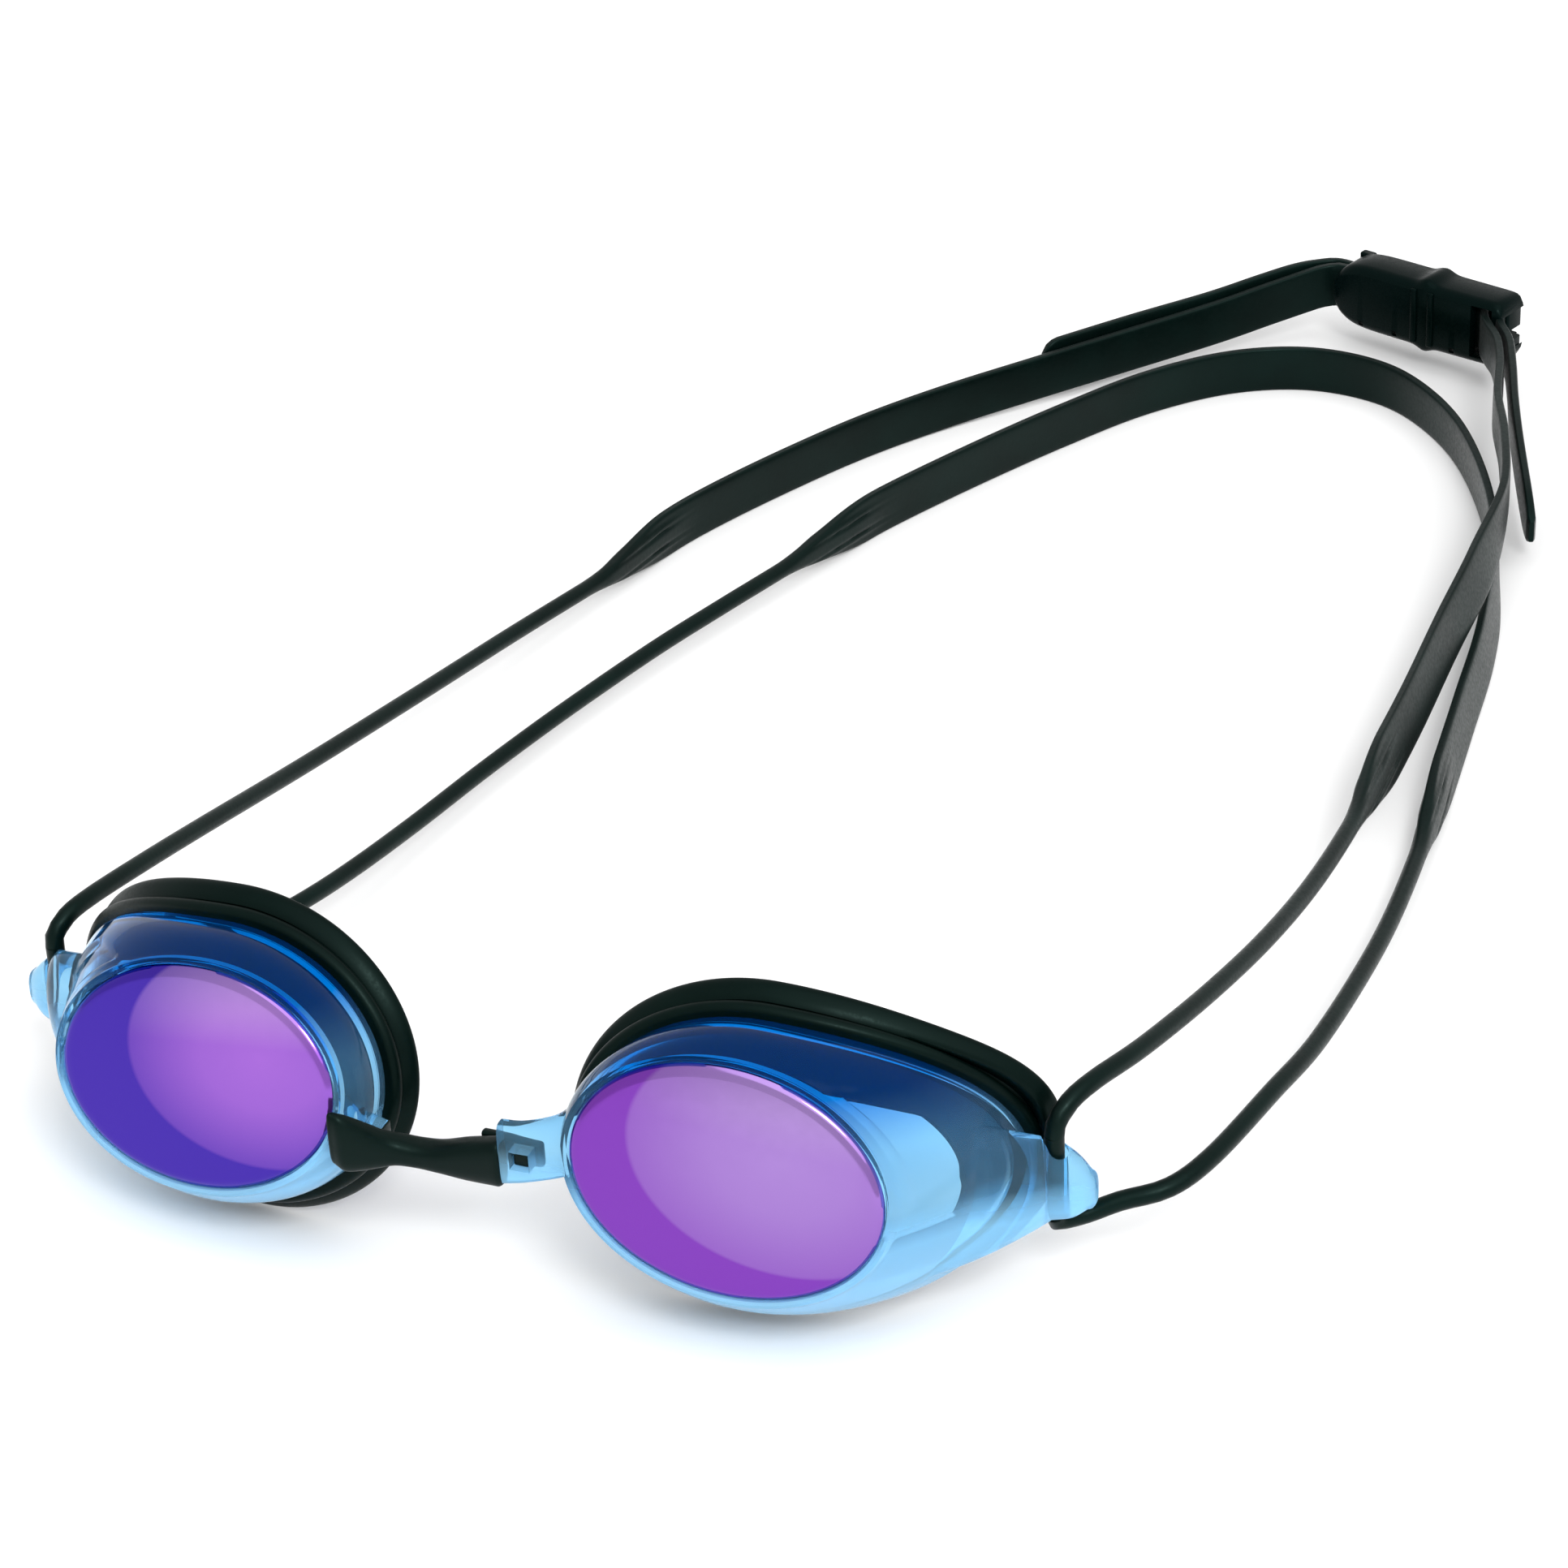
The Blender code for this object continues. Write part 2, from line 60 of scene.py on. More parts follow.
# ---- driving dimensions, the same as the frame's (mm, degrees) ----
LENS_SPACING = 68.0
LENS_HEIGHT = 24.0
WRAP, TILT = 4.3, 13.4
LENS_TURN = -7.9
SEAL_TURN = -3.0
SEAL_SHIFT = (0.9, -0.7)
FLANGE = (29.2, 21.6, 17.4, 8.0, 13.5)   # half axes out, in, up; depth; temple's sweep back
LIP = (31.2, 23.6, 20.4, 13.7, 11.5)
LENS_LONG, LENS_TALL = 18.9, 13.9
LENS_THICK, LENS_BEVEL = 1.4, 0.9
RIM = 1.3
WALL = 1.4
LEDGE = 2.4
GAP = 0.3
EYE = (65.9, 22.5, 16.8)
EYE_HOLE = 1.65
CORD = 1.2
BAND_TALL, BAND_THICK = 7.4, 1.4
TAPER = 22.0

# ---- fineness of the surfaces ----
ROUND_STEPS = 192                    # points round a cup, lens or gasket
CORD_STEPS = 80                      # points round a cord or band
STRAP_SPACING = 1.4                  # between a strap's sections

# ---- detail the frame doesn't hold ----
LENS_DOME = 0.5                      # the mirror's crown
WALL_BULGE = 0.7                     # the cup wall bows outwards by this much
LOWER_SWELL = 1.0                    # the cup is fuller on its lower temple side
WINDOW_DEPTH = 0.55                  # the flat window recessed in the cup's temple side
BLEND_Y = (22.8, 31.0)               # the cords bend at the cups between these two Y


def eye_line():
    """The middle between the two eye cords, in the frame."""
    corners = [Vector(c) for side in ("left", "right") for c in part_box(side + "_eye_cord")]
    return sum(corners, Vector()) / len(corners)


DATUM = eye_line() - Vector((0.0, EYE[1], EYE[2])) * MM


def placed(point):
    """A datum point in mm as a frame point in metres."""
    return DATUM + Vector(point) * MM


def smoothstep(x):
    x = min(1.0, max(0.0, x))
    return x * x * (3 - 2 * x)


def catmull_rom(a, b, c, d, t):
    """A point t of the way from b to c on the smooth curve through all four."""
    return 0.5 * (2 * b + (c - a) * t + (2 * a - 5 * b + 4 * c - d) * t * t
                  + (3 * b - a - 3 * c + d) * t ** 3)


def signed_degrees(angle):
    """The angle round a cup in degrees, -180 to 180, with 0 at the temple."""
    return (math.degrees(angle) + 180) % 360 - 180


def bell(degrees, centre, width):
    """A smooth hump of height 1 at the centre, gone by about twice the width."""
    return math.exp(-((degrees - centre) / width) ** 2)


def full_turn(steps):
    """Evenly spaced angles round a circle."""
    return [2 * math.pi * i / steps for i in range(steps)]


def squared_circle(angle, power):
    """A point of a circle that is squared off more the higher the power."""
    c, s = math.cos(angle), math.sin(angle)
    scale = (abs(c) ** power + abs(s) ** power) ** (-1 / power)
    return c * scale, s * scale


# ---- mesh helpers ----
def solid(name, points, faces, sharp=40.0):
    """A closed mesh from datum points in mm."""
    mesh = bpy.data.meshes.new(name)
    mesh.from_pydata([placed(p) for p in points], [], faces)
    bm = bmesh.new()
    bm.from_mesh(mesh)
    bmesh.ops.recalc_face_normals(bm, faces=bm.faces)
    bm.to_mesh(mesh)
    bm.free()
    obj = bpy.data.objects.new(name, mesh)
    bpy.context.scene.collection.objects.link(obj)
    shade(obj, sharp)
    return obj


def shade(obj, sharp):
    obj.data.shade_smooth()
    obj.data.set_sharp_from_angle(angle=math.radians(sharp))


def bake(obj):
    """Applies the object's modifiers to its mesh."""
    graph = bpy.context.evaluated_depsgraph_get()
    mesh = bpy.data.meshes.new_from_object(obj.evaluated_get(graph))
    obj.modifiers.clear()
    obj.data = mesh
    return obj


def combine(target, tool, operation):
    """Unites target with tool, or cuts it, and removes the tool."""
    mod = target.modifiers.new(operation, "BOOLEAN")
    mod.operation = operation
    mod.solver = "EXACT"
    mod.object = tool
    bake(target)
    bpy.data.objects.remove(tool)


def round_edges(obj, width, segments=3):
    mod = obj.modifiers.new("round_edges", "BEVEL")
    mod.width = width * MM
    mod.segments = segments
    mod.limit_method = "ANGLE"
    mod.angle_limit = math.radians(40)
    return bake(obj)


def dress(obj, material, nodes):
    """Gives a piece its material and slot, and lets it stand for its CAD nodes."""
    obj.data.materials.clear()
    obj.data.materials.append(material)
    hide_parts(*nodes)
    return obj


def rings_to_faces(rings, steps, closed):
    """Quads between rings of equal length; closed joins the last ring to the first."""
    faces = []
    for r in range(rings if closed else rings - 1):
        here, there = r * steps, (r + 1) % rings * steps
        for i in range(steps):
            j = (i + 1) % steps
            faces.append((here + i, here + j, there + j, there + i))
    if not closed:
        faces.append(tuple(range(steps))[::-1])
        faces.append(tuple(range((rings - 1) * steps, rings * steps)))
    return faces


def smooth_route(route, spacing):
    """Points along a Catmull-Rom curve through the route, about spacing apart."""
    knots = [Vector(p) for p in route]
    ends = [2 * knots[0] - knots[1]] + knots + [2 * knots[-1] - knots[-2]]
    points = [knots[0]]
    for a, b, c, d in zip(ends, ends[1:], ends[2:], ends[3:]):
        count = max(1, round((c - b).length / spacing))
        for i in range(1, count + 1):
            t = i / count
            points.append(catmull_rom(a, b, c, d, t))
    return points


# ---- the cups' local frame: out (towards the temple), up, deep (away from the front) ----
def cup_axes(side):
    """The out, up and deep directions of a cup, in the frame."""
    wrap, tilt = math.radians(WRAP), math.radians(TILT)
    across = Vector((math.cos(wrap), math.sin(wrap), 0))
    front = Vector((math.sin(wrap), -math.cos(wrap), 0))
    normal = math.cos(tilt) * front + math.sin(tilt) * Vector((0, 0, 1))
    rise = -math.sin(tilt) * front + math.cos(tilt) * Vector((0, 0, 1))
    mirror = Matrix.Diagonal((side, 1, 1))
    return mirror @ across, mirror @ rise, mirror @ -normal


def cup_point(side, out, up, deep):
    across, rise, inwards = cup_axes(side)
    centre = Vector((side * LENS_SPACING / 2, 0, LENS_HEIGHT))
    return centre + out * across + up * rise + deep * inwards


def oval(angle, long_out, long_in, tall, turn, grow=0.0):
    """A point of an egg outline: angle 0 is the temple end, grow offsets it outwards."""
    reach = (long_out if math.cos(angle) > 0 else long_in) + grow
    x, z = reach * math.cos(angle), (tall + grow) * math.sin(angle)
    turn = math.radians(turn)
    return x * math.cos(turn) - z * math.sin(turn), x * math.sin(turn) + z * math.cos(turn)


def lens_outline(angle, grow):
    return oval(angle, LENS_LONG, LENS_LONG, LENS_TALL, LENS_TURN, grow)


def seal_outline(angle, size, grow):
    """The egg where the gasket meets the cup or the face, swept back at the temple."""
    long_out, long_in, tall, depth, sweep = size
    out, up = oval(angle, long_out, long_in, tall, SEAL_TURN, grow)
    back = depth + sweep * max(0.0, math.cos(angle)) ** 2
    return out + SEAL_SHIFT[0], up + SEAL_SHIFT[1], back


def around(side, section):
    """Rings round a cup: section(angle) gives one cross-section's (out, up, deep) points."""
    sections = [section(a) for a in full_turn(ROUND_STEPS)]
    points = []
    for k in range(len(sections[0])):
        points += [cup_point(side, *s[k]) for s in sections]
    return points, rings_to_faces(len(sections[0]), ROUND_STEPS, True)


# ---- cup ----
WINDOW_LOW = (2.0, 20.0)             # the window's lower edge, degrees at the lens and at its end
WINDOW_HIGH = (64.0, 38.0)           # the window's upper edge
WINDOW_SPAN = (0.1, 0.6)             # from the lens to this share of the wall's length
LOWER_SIDE = (-48.0, 34.0)           # the lower temple side: its middle and width, degrees
WALL_FRONT = 0.9                     # the wall starts this deep, behind the rim's rounding


def window_recess(angle, t):
    """How far the cup's outer wall is sunk at this place."""
    degrees = signed_degrees(angle)
    low = WINDOW_LOW[0] + (WINDOW_LOW[1] - WINDOW_LOW[0]) * t
    high = WINDOW_HIGH[0] + (WINDOW_HIGH[1] - WINDOW_HIGH[0]) * t
    inside = smoothstep((degrees - low) / 2.5) * smoothstep((high - degrees) / 2.5)
    along = smoothstep((t - WINDOW_SPAN[0]) / 0.05) * smoothstep((WINDOW_SPAN[1] - t) / 0.04)
    return WINDOW_DEPTH * inside * along


def lower_side(angle):
    """How much a place lies on the cup's lower temple side, 0 to 1."""
    return bell(signed_degrees(angle), *LOWER_SIDE)


def wall_point(angle, t, inset, swell=0.0):
    """A place in the cup's wall, t of the way from the lens to the flange."""
    front = (*lens_outline(angle, RIM - inset + swell), WALL_FRONT + inset)
    back = seal_outline(angle, FLANGE, swell - inset)
    return tuple(f + (b - f) * t for f, b in zip(front, back))


def wall_swell(angle, t):
    """How far the outer wall stands out past a straight one."""
    return WALL_BULGE * math.sin(math.pi * t) + LOWER_SWELL * t * lower_side(angle)


def cup_section(angle):
    def lens_at(grow, deep):
        return (*lens_outline(angle, grow), deep)

    foot = seal_outline(angle, FLANGE, LOWER_SWELL * lower_side(angle))
    heel = seal_outline(angle, FLANGE, -WALL)
    section = [lens_at(GAP * 0.6, LENS_THICK + GAP), lens_at(GAP * 0.6, 0.55),
               lens_at(GAP * 0.9, 0.2), lens_at(RIM * 0.5, 0.08), lens_at(RIM * 0.8, 0.25)]
    for i in range(26):
        t = i / 26
        section.append(wall_point(angle, t, 0.0, wall_swell(angle, t) - window_recess(angle, t)))
    section += [foot, (foot[0], foot[1], foot[2] + WALL), (heel[0], heel[1], heel[2] + WALL)]
    for i in range(12, 0, -1):
        t = i / 13
        section.append(wall_point(angle, t, WALL, 0.5 * WALL_BULGE * math.sin(math.pi * t)))
    section += [lens_at(-LEDGE, LENS_THICK + GAP + 1.4), lens_at(-LEDGE, LENS_THICK + GAP)]
    return section


# beams: (x, y, z, half thickness in Y, half height in Z) from the root to the tip
LUG_TIP = [(EYE[0], EYE[1], 16.2, 2.9, 5.2), (68.2, 23.0, 15.5, 2.5, 4.0), (69.9, 23.3, 15.2, 1.6, 2.5)]
LUG_ROOT = (-15.0, 0.73)             # the middle of the lug's root: degrees, and share of the wall
LUG_ROOT_HALF = (43.0, 0.25)         # its half size in the same measures
LUG_BULGE = 1.6                      # the lug's sides bow outwards by this much
NOSE_ARM = {1: [(16.4, 4.4, 24.2, 1.0, 4.6), (14.4, 3.2, 23.9, 1.2, 4.7),
                (12.0, 2.5, 22.6, 1.2, 4.2), (8.0, 2.2, 21.2, 1.2, 4.1), (5.0, 2.2, 20.6, 1.2, 4.3)],
            -1: [(16.4, 4.4, 20.6, 1.0, 3.0), (14.2, 3.5, 19.4, 1.1, 2.2), (10.8, 3.3, 18.7, 1.1, 1.7)]}
SOCKET = {1: (7.6, 20.3), -1: (11.8, 18.9)}
SOCKET_HALF = 1.25


def smooth_sections(sections, parts):
    """More sections between the given ones, on a Catmull-Rom curve through all five values."""
    rows = [Vector(s) for s in sections]
    ends = [2 * rows[0] - rows[1]] + rows + [2 * rows[-1] - rows[-2]]
    fine = [rows[0]]
    for a, b, c, d in zip(ends, ends[1:], ends[2:], ends[3:]):
        for i in range(1, parts + 1):
            t = i / parts
            fine.append(catmull_rom(a, b, c, d, t))
    return fine


def beam_ring(side, section, power, steps=48):
    """One closed section of a beam, from its middle, half thickness and half height."""
    x, y, z, thick, tall = section
    ring = []
    for a in full_turn(steps):
        along, over = squared_circle(a, power)
        ring.append(Vector((side * x, y + thick * along, z + tall * over)))
    return ring


def rounded_end(end, inner, cap):
    """The sections that round a beam's end off over cap mm, seen from its inner neighbour."""
    away = (end - inner).normalized()
    added = []
    for i in range(1, 6):
        a = math.pi / 2 * i / 5.2
        row = end.copy()
        for k in range(3):
            row[k] += away[k] * cap * math.sin(a)
        row[3] -= cap * (1 - math.cos(a))
        row[4] -= cap * (1 - math.cos(a))
        added.append(row)
    return added


def beam(name, side, sections, power=4.0, cap=0.0):
    """A rounded beam through the sections; cap rounds both ends over that many mm."""
    fine = smooth_sections(sections, 6)
    if cap:
        first, last = rounded_end(fine[0], fine[1], cap), rounded_end(fine[-1], fine[-2], cap)
        fine = first[::-1] + fine + last
    points = [p for section in fine for p in beam_ring(side, section, power)]
    return solid(name, points, rings_to_faces(len(fine), len(points) // len(fine), False))


def lug_root_ring(side, share, steps=48):
    """A ring inside the cup's wall, at this share of the lug's root."""
    ring = []
    for a in full_turn(steps):
        angle = math.radians(LUG_ROOT[0] + LUG_ROOT_HALF[0] * share * math.sin(a))
        t = LUG_ROOT[1] + LUG_ROOT_HALF[1] * share * math.cos(a)
        ring.append(cup_point(side, *wall_point(angle, t, 0.5 * WALL, wall_swell(angle, t))))
    return ring


def make_lug(side):
    """The temple lug: a wedge that grows out of the cup's wall and narrows to a round tip."""
    tip = smooth_sections(LUG_TIP, 6)
    tip += rounded_end(tip[-1], tip[-2], 1.2)
    tip_rings = [beam_ring(side, section, 2.6) for section in tip]
    rings = [lug_root_ring(side, share) for share in (0.05, 0.3, 0.55, 0.8, 1.0)]
    root = rings[-1]
    for k in range(1, 8):
        w = k / 8
        outwards = Vector((side * LUG_BULGE * math.sin(math.pi * w), 0, 0))
        rings.append([p.lerp(q, w) + outwards for p, q in zip(root, tip_rings[0])])
    rings += tip_rings
    points = [p for ring in rings for p in ring]
    return solid("lug", points, rings_to_faces(len(rings), len(root), False))


def box(name, low, high, turn=None, centre=(0.0, 0.0, 0.0), sharp=30.0):
    points = [Vector((x, y, z)) for x in (low[0], high[0]) for y in (low[1], high[1])
              for z in (low[2], high[2])]
    if turn:
        points = [Vector(centre) + turn @ p for p in points]
    faces = [(0, 1, 3, 2), (4, 6, 7, 5), (0, 4, 5, 1), (2, 3, 7, 6), (0, 2, 6, 4), (1, 5, 7, 3)]
    return solid(name, points, faces, sharp)


def cylinder(name, centre, radius, low, high, steps=48):
    points = []
    for z in (low, high):
        for a in full_turn(steps):
            points.append((centre[0] + radius * math.cos(a), centre[1] + radius * math.sin(a), z))
    return solid(name, points, rings_to_faces(2, steps, False))


def make_cup(side, name, material):
    cup = solid(name + "_cup_shell", *around(side, cup_section))
    combine(cup, make_lug(side), "UNION")
    combine(cup, beam("arm", side, NOSE_ARM[side]), "UNION")
    hole = cylinder("hole", (side * EYE[0], EYE[1]), EYE_HOLE, EYE[2] - 9, EYE[2] + 9)
    combine(cup, hole, "DIFFERENCE")
    x, z = SOCKET[side]
    socket = box("socket", (side * x - SOCKET_HALF, -3, z - SOCKET_HALF),
                 (side * x + SOCKET_HALF, 7, z + SOCKET_HALF))
    combine(cup, socket, "DIFFERENCE")
    shade(cup, 32)
    dress(cup, material, [name + "_cup"])
    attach(cup, "front")


# ---- lens ----
def make_lens(side, name, material):
    """A gently crowned mirror with a polished bevel and a flat back."""
    rings = [(s, 0.0, -LENS_DOME * (1 - s * s)) for s in (0.02, 0.15, 0.3, 0.45, 0.6, 0.75, 0.88, 0.96, 1.0)]
    rings += [(1.0, LENS_BEVEL * 0.5, 0.14), (1.0, LENS_BEVEL, 0.5), (1.0, LENS_BEVEL + 0.02, LENS_THICK)]
    rings += [(0.9, 0.0, LENS_THICK), (0.5, 0.0, LENS_THICK)]
    points = []
    for share, grow, deep in rings:
        for a in full_turn(ROUND_STEPS):
            out, up = lens_outline(a, grow - LENS_BEVEL)
            points.append(cup_point(side, out * share, up * share, deep))
    lens = solid(name + "_mirror_lens", points, rings_to_faces(len(rings), ROUND_STEPS, False), 50)
    dress(lens, material, [name + "_lens"])
    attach(lens, "front")


# ---- gasket ----
TEMPLE_RISE = {-1: -1.2, 1: 2.4}     # how much wider the lip stands over the upper temple
TEMPLE_TUCK = 2.6                    # and is tucked in behind the cup's lower temple side
RISE_AT, TUCK_AT = (26.0, 22.0), (-52.0, 34.0)   # where: the middle and width, degrees
# the sleeve inside the wall starts this share of the way from the lens to the flange
SLEEVE_NOSE, SLEEVE_TEMPLE, SLEEVE_END = 0.14, 0.6, 0.97
SLEEVE_LOW = -14.0                   # and ends below this angle on the temple side


def gasket_section(angle, rise):
    """A bead that holds the cup's flange, a groove, then the flared lip that meets the face."""
    degrees = signed_degrees(angle)
    wider = rise * bell(degrees, *RISE_AT)
    tucked = TEMPLE_TUCK * bell(degrees, *TUCK_AT)

    def on_flange(grow, deeper):
        out, up, deep = seal_outline(angle, FLANGE, grow - 0.6 * tucked)
        return out, up, deep + WALL + deeper

    def on_lip(grow, deeper):
        out, up, deep = seal_outline(angle, LIP, grow + wider - tucked)
        return out, up, deep + deeper

    knots = [
        on_flange(-1.3, 0.15), on_flange(0.2, 0.1), on_flange(1.0, 0.15), on_flange(1.55, 0.7),
        on_flange(1.6, 1.3), on_flange(1.2, 1.9), on_flange(0.5, 2.3), on_flange(0.7, 3.0),
        on_lip(-1.5, -2.4), on_lip(-0.2, -1.5), on_lip(0.35, -0.7), on_lip(0.3, -0.1),
        on_lip(-0.5, 0.15), on_lip(-2.0, -0.2), on_lip(-3.6, -1.0), on_lip(-4.8, -2.0),
        on_flange(-2.4, 2.2), on_flange(-2.1, 0.9)]
    return closed_curve([Vector(k) for k in knots], 3)


def sleeve_reach(angle):
    """The share of the wall, from the lens, that the sleeve leaves clear at this angle."""
    degrees = signed_degrees(angle)
    if degrees < SLEEVE_LOW - 40:
        return SLEEVE_NOSE + (SLEEVE_END - SLEEVE_NOSE) * smoothstep((degrees + 178) / 14)
    rising = (WINDOW_HIGH[0] - degrees) / (WINDOW_HIGH[0] - WINDOW_HIGH[1])
    top = SLEEVE_NOSE + (SLEEVE_TEMPLE - SLEEVE_NOSE) * min(1.0, max(0.0, rising))
    return top + (SLEEVE_END - top) * smoothstep((SLEEVE_LOW - degrees) / 5)


def sleeve_section(angle):
    """A thin skirt that runs forward inside the cup's upper wall."""
    end = sleeve_reach(angle)
    steps = [1.06 + (end - 1.06) * i / 10 for i in range(11)]
    outer = [wall_point(angle, t, WALL + 0.2) for t in steps]
    inner = [wall_point(angle, t, WALL + 0.85) for t in steps[::-1]]
    return outer + inner


def closed_curve(knots, parts):
    """A closed Catmull-Rom curve through the knots."""
    count = len(knots)
    points = []
    for k in range(count):
        a, b, c, d = (knots[(k + i - 1) % count] for i in range(4))
        for i in range(parts):
            t = i / parts
            points.append(catmull_rom(a, b, c, d, t))
    return points


def make_gasket(side, name, material, sleeve_material):
    gasket = solid(name + "_soft_seal", *around(side, lambda a: gasket_section(a, TEMPLE_RISE[side])), 60)
    dress(gasket, material, [name + "_gasket"])
    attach(gasket, "front")
    sleeve = solid(name + "_seal_sleeve", *around(side, sleeve_section), 60)
    dress(sleeve, sleeve_material, [name + "_gasket"])
    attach(sleeve, "front")


# ---- nose bridge ----
BRIDGE = [(-14.2, -3.0, 21.7, 0.8, 3.6), (-12.9, -2.7, 21.1, 1.2, 3.8), (-11.2, -1.5, 20.2, 1.5, 3.1),
          (-9.6, -0.3, 19.4, 1.6, 2.3), (-8.0, 1.0, 18.8, 1.7, 1.8), (-5.6, 1.8, 18.3, 1.8, 1.6),
          (-3.0, 2.1, 18.2, 1.9, 1.8), (0.4, 2.3, 18.5, 1.9, 2.6), (4.5, 2.3, 19.0, 1.8, 3.2)]


def make_bridge(material):
    """The soft dog-bone with its stud in each nose arm's socket."""
    bridge = beam("nose_bridge_band", 1, BRIDGE, power=3.0, cap=0.6)
    half = SOCKET_HALF - GAP
    x, z = SOCKET[-1]
    stud = box("stud", (-x - half, -0.6, z - half), (-x + half, 4.9, z + half))
    combine(bridge, round_edges(stud, 0.25), "UNION")
    x, z = SOCKET[1]
    tongue = box("tongue", (1.5, 3.75, z - 2.0), (x + 1.9, 4.9, z + 1.3))
    combine(bridge, round_edges(tongue, 0.4), "UNION")
    stud = box("stud", (x - half, 1.6, z - half), (x + half, 4.5, z + half))
    combine(bridge, round_edges(stud, 0.25), "UNION")
    shade(bridge, 35)
    dress(bridge, material, ["nose_bridge"])
    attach(bridge, "front")


# ---- strap: the frame's routes through the middle of each stretch ----
UPPER_LEFT_CORD = [
    (-65.9, 22.5, 22.4), (-65.9, 22.7, 23.7), (-65.1, 24.8, 25.6), (-64.3, 29.5, 25.8),
    (-63.5, 40.5, 24.1), (-63.2, 55.0, 21.0), (-63.0, 85.0, 14.0), (-61.0, 114.0, 9.0),
    (-58.0, 140.0, 5.6), (-54.4, 158.5, 4.1)]
UPPER_LEFT_BAND = [
    (-52.8, 165.0, 3.9), (-50.2, 178.0, 3.9), (-46.9, 188.3, 3.9),
    (-40.4, 203.2, 3.9), (-32.5, 218.6, 3.9), (-23.5, 231.9, 4.1), (-13.0, 243.8, 4.8),
    (0.5, 258.3, 5.8), (11.2, 268.3, 7.2), (18.0, 274.5, 8.5), (23.2, 279.1, 9.5),
    (25.6, 281.1, 9.9), (28.2, 282.2, 10.1), (31.0, 281.3, 10.1), (36.7, 279.2, 10.1),
    (42.3, 277.3, 10.1)]
LOWER_LEFT_CORD = [
    (-65.9, 22.5, 11.2), (-65.9, 22.8, 10.1), (-64.5, 27.0, 9.2), (-61.2, 35.0, 9.5),
    (-56.5, 47.0, 9.3), (-52.4, 60.0, 8.4), (-50.6, 72.0, 6.9), (-49.0, 88.0, 5.1),
    (-46.5, 106.0, 4.2), (-42.7, 124.5, 3.9), (-37.5, 144.5, 3.9), (-32.8, 159.6, 3.9),
    (-28.6, 172.4, 3.9)]
LOWER_BAND = [
    (-23.0, 189.8, 3.9), (-19.5, 199.0, 3.9), (-11.8, 215.2, 3.9),
    (-3.0, 231.8, 3.9), (6.0, 246.4, 3.9), (16.5, 257.2, 3.9), (28.0, 262.2, 3.9),
    (39.5, 261.1, 3.9), (48.8, 255.2, 3.9), (58.5, 243.1, 3.9), (67.4, 224.5, 3.9),
    (73.6, 204.7, 3.9), (77.8, 182.0, 3.9), (79.8, 161.3, 3.9), (81.4, 143.3, 3.9)]
LOWER_RIGHT_CORD = [
    (65.9, 22.5, 11.2), (66.0, 22.8, 10.2), (68.6, 25.4, 9.9), (72.2, 27.3, 11.2),
    (77.4, 30.0, 12.5), (80.6, 37.0, 13.0), (83.3, 52.3, 12.4), (84.8, 69.0, 10.0),
    (84.7, 97.4, 6.2), (83.3, 121.8, 4.2)]
UPPER_RIGHT_CORD = [
    (65.9, 22.5, 22.4), (66.0, 22.7, 23.8), (67.0, 24.8, 25.9), (68.7, 29.0, 26.6),
    (71.5, 39.0, 25.4), (74.0, 56.7, 22.0), (75.5, 76.0, 18.0), (75.9, 96.0, 14.0),
    (75.7, 115.5, 11.3)]
UPPER_RIGHT_BAND = [
    (75.2, 130.0, 10.3), (75.0, 150.0, 10.0), (74.6, 171.0, 10.5),
    (74.8, 190.0, 11.9), (73.5, 209.0, 12.5), (69.5, 226.0, 12.2), (64.8, 241.0, 11.2),
    (62.0, 254.0, 10.5), (59.6, 262.0, 10.2), (57.2, 266.6, 10.1), (55.7, 269.6, 10.1),
    (55.2, 271.6, 10.1), (53.6, 273.2, 10.1), (49.9, 274.6, 10.1), (46.2, 275.95, 10.1)]
# the tails go on into the buckle, on the outer side of the bands
LEFT_TAIL = [
    (37.3, 280.9, 10.1), (30.7, 283.2, 10.1), (27.2, 284.0, 10.1), (24.3, 282.6, 10.1),
    (21.2, 280.0, 10.1), (16.4, 275.9, 9.3), (9.6, 269.7, 8.1), (-1.2, 259.8, 6.9),
    (-12.1, 248.1, 6.0)]
RIGHT_TAIL = [
    (52.4, 275.6, 10.1), (55.1, 274.5, 10.1), (57.0, 272.7, 10.1), (57.8, 270.2, 10.1),
    (59.1, 267.2, 10.1), (61.5, 262.4, 10.1), (64.0, 254.2, 9.9), (66.8, 244.0, 9.4),
    (70.2, 233.0, 8.5), (74.4, 220.5, 7.2), (77.2, 212.5, 6.4)]
LEAN_FROM, LEAN_OVER = 212.0, 24.0   # the right bands lean over in front of this Y, growing over this
UPPER_LEAN, LOWER_LEAN = 18.0, 14.0  # how far their tops lean inwards (degrees)
RIDGE_WIDTH = 1.2                    # the cord goes on as a raised rib in the band's faces
GROOVE = 0.42                        # depth of the groove on each side of the rib
GROOVE_AT = 1.45 * RIDGE_WIDTH       # its distance from the middle of the rib
GROOVE_WIDTH = 0.38


def length_of(points):
    return sum((q - p).length for p, q in zip(points, points[1:]))


def band_form(into_taper):
    """Half thickness, half height, squareness and rib height, this far past the cord's end."""
    t = smoothstep(into_taper / TAPER)
    rib = (CORD - BAND_THICK / 2) * t * (1 - smoothstep((into_taper - 0.7 * TAPER) / (0.6 * TAPER)))
    thick = CORD + (BAND_THICK / 2 - CORD) * t
    tall = CORD + (BAND_TALL / 2 - CORD) * t
    return thick, tall, 2.0 + 5.0 * t, rib


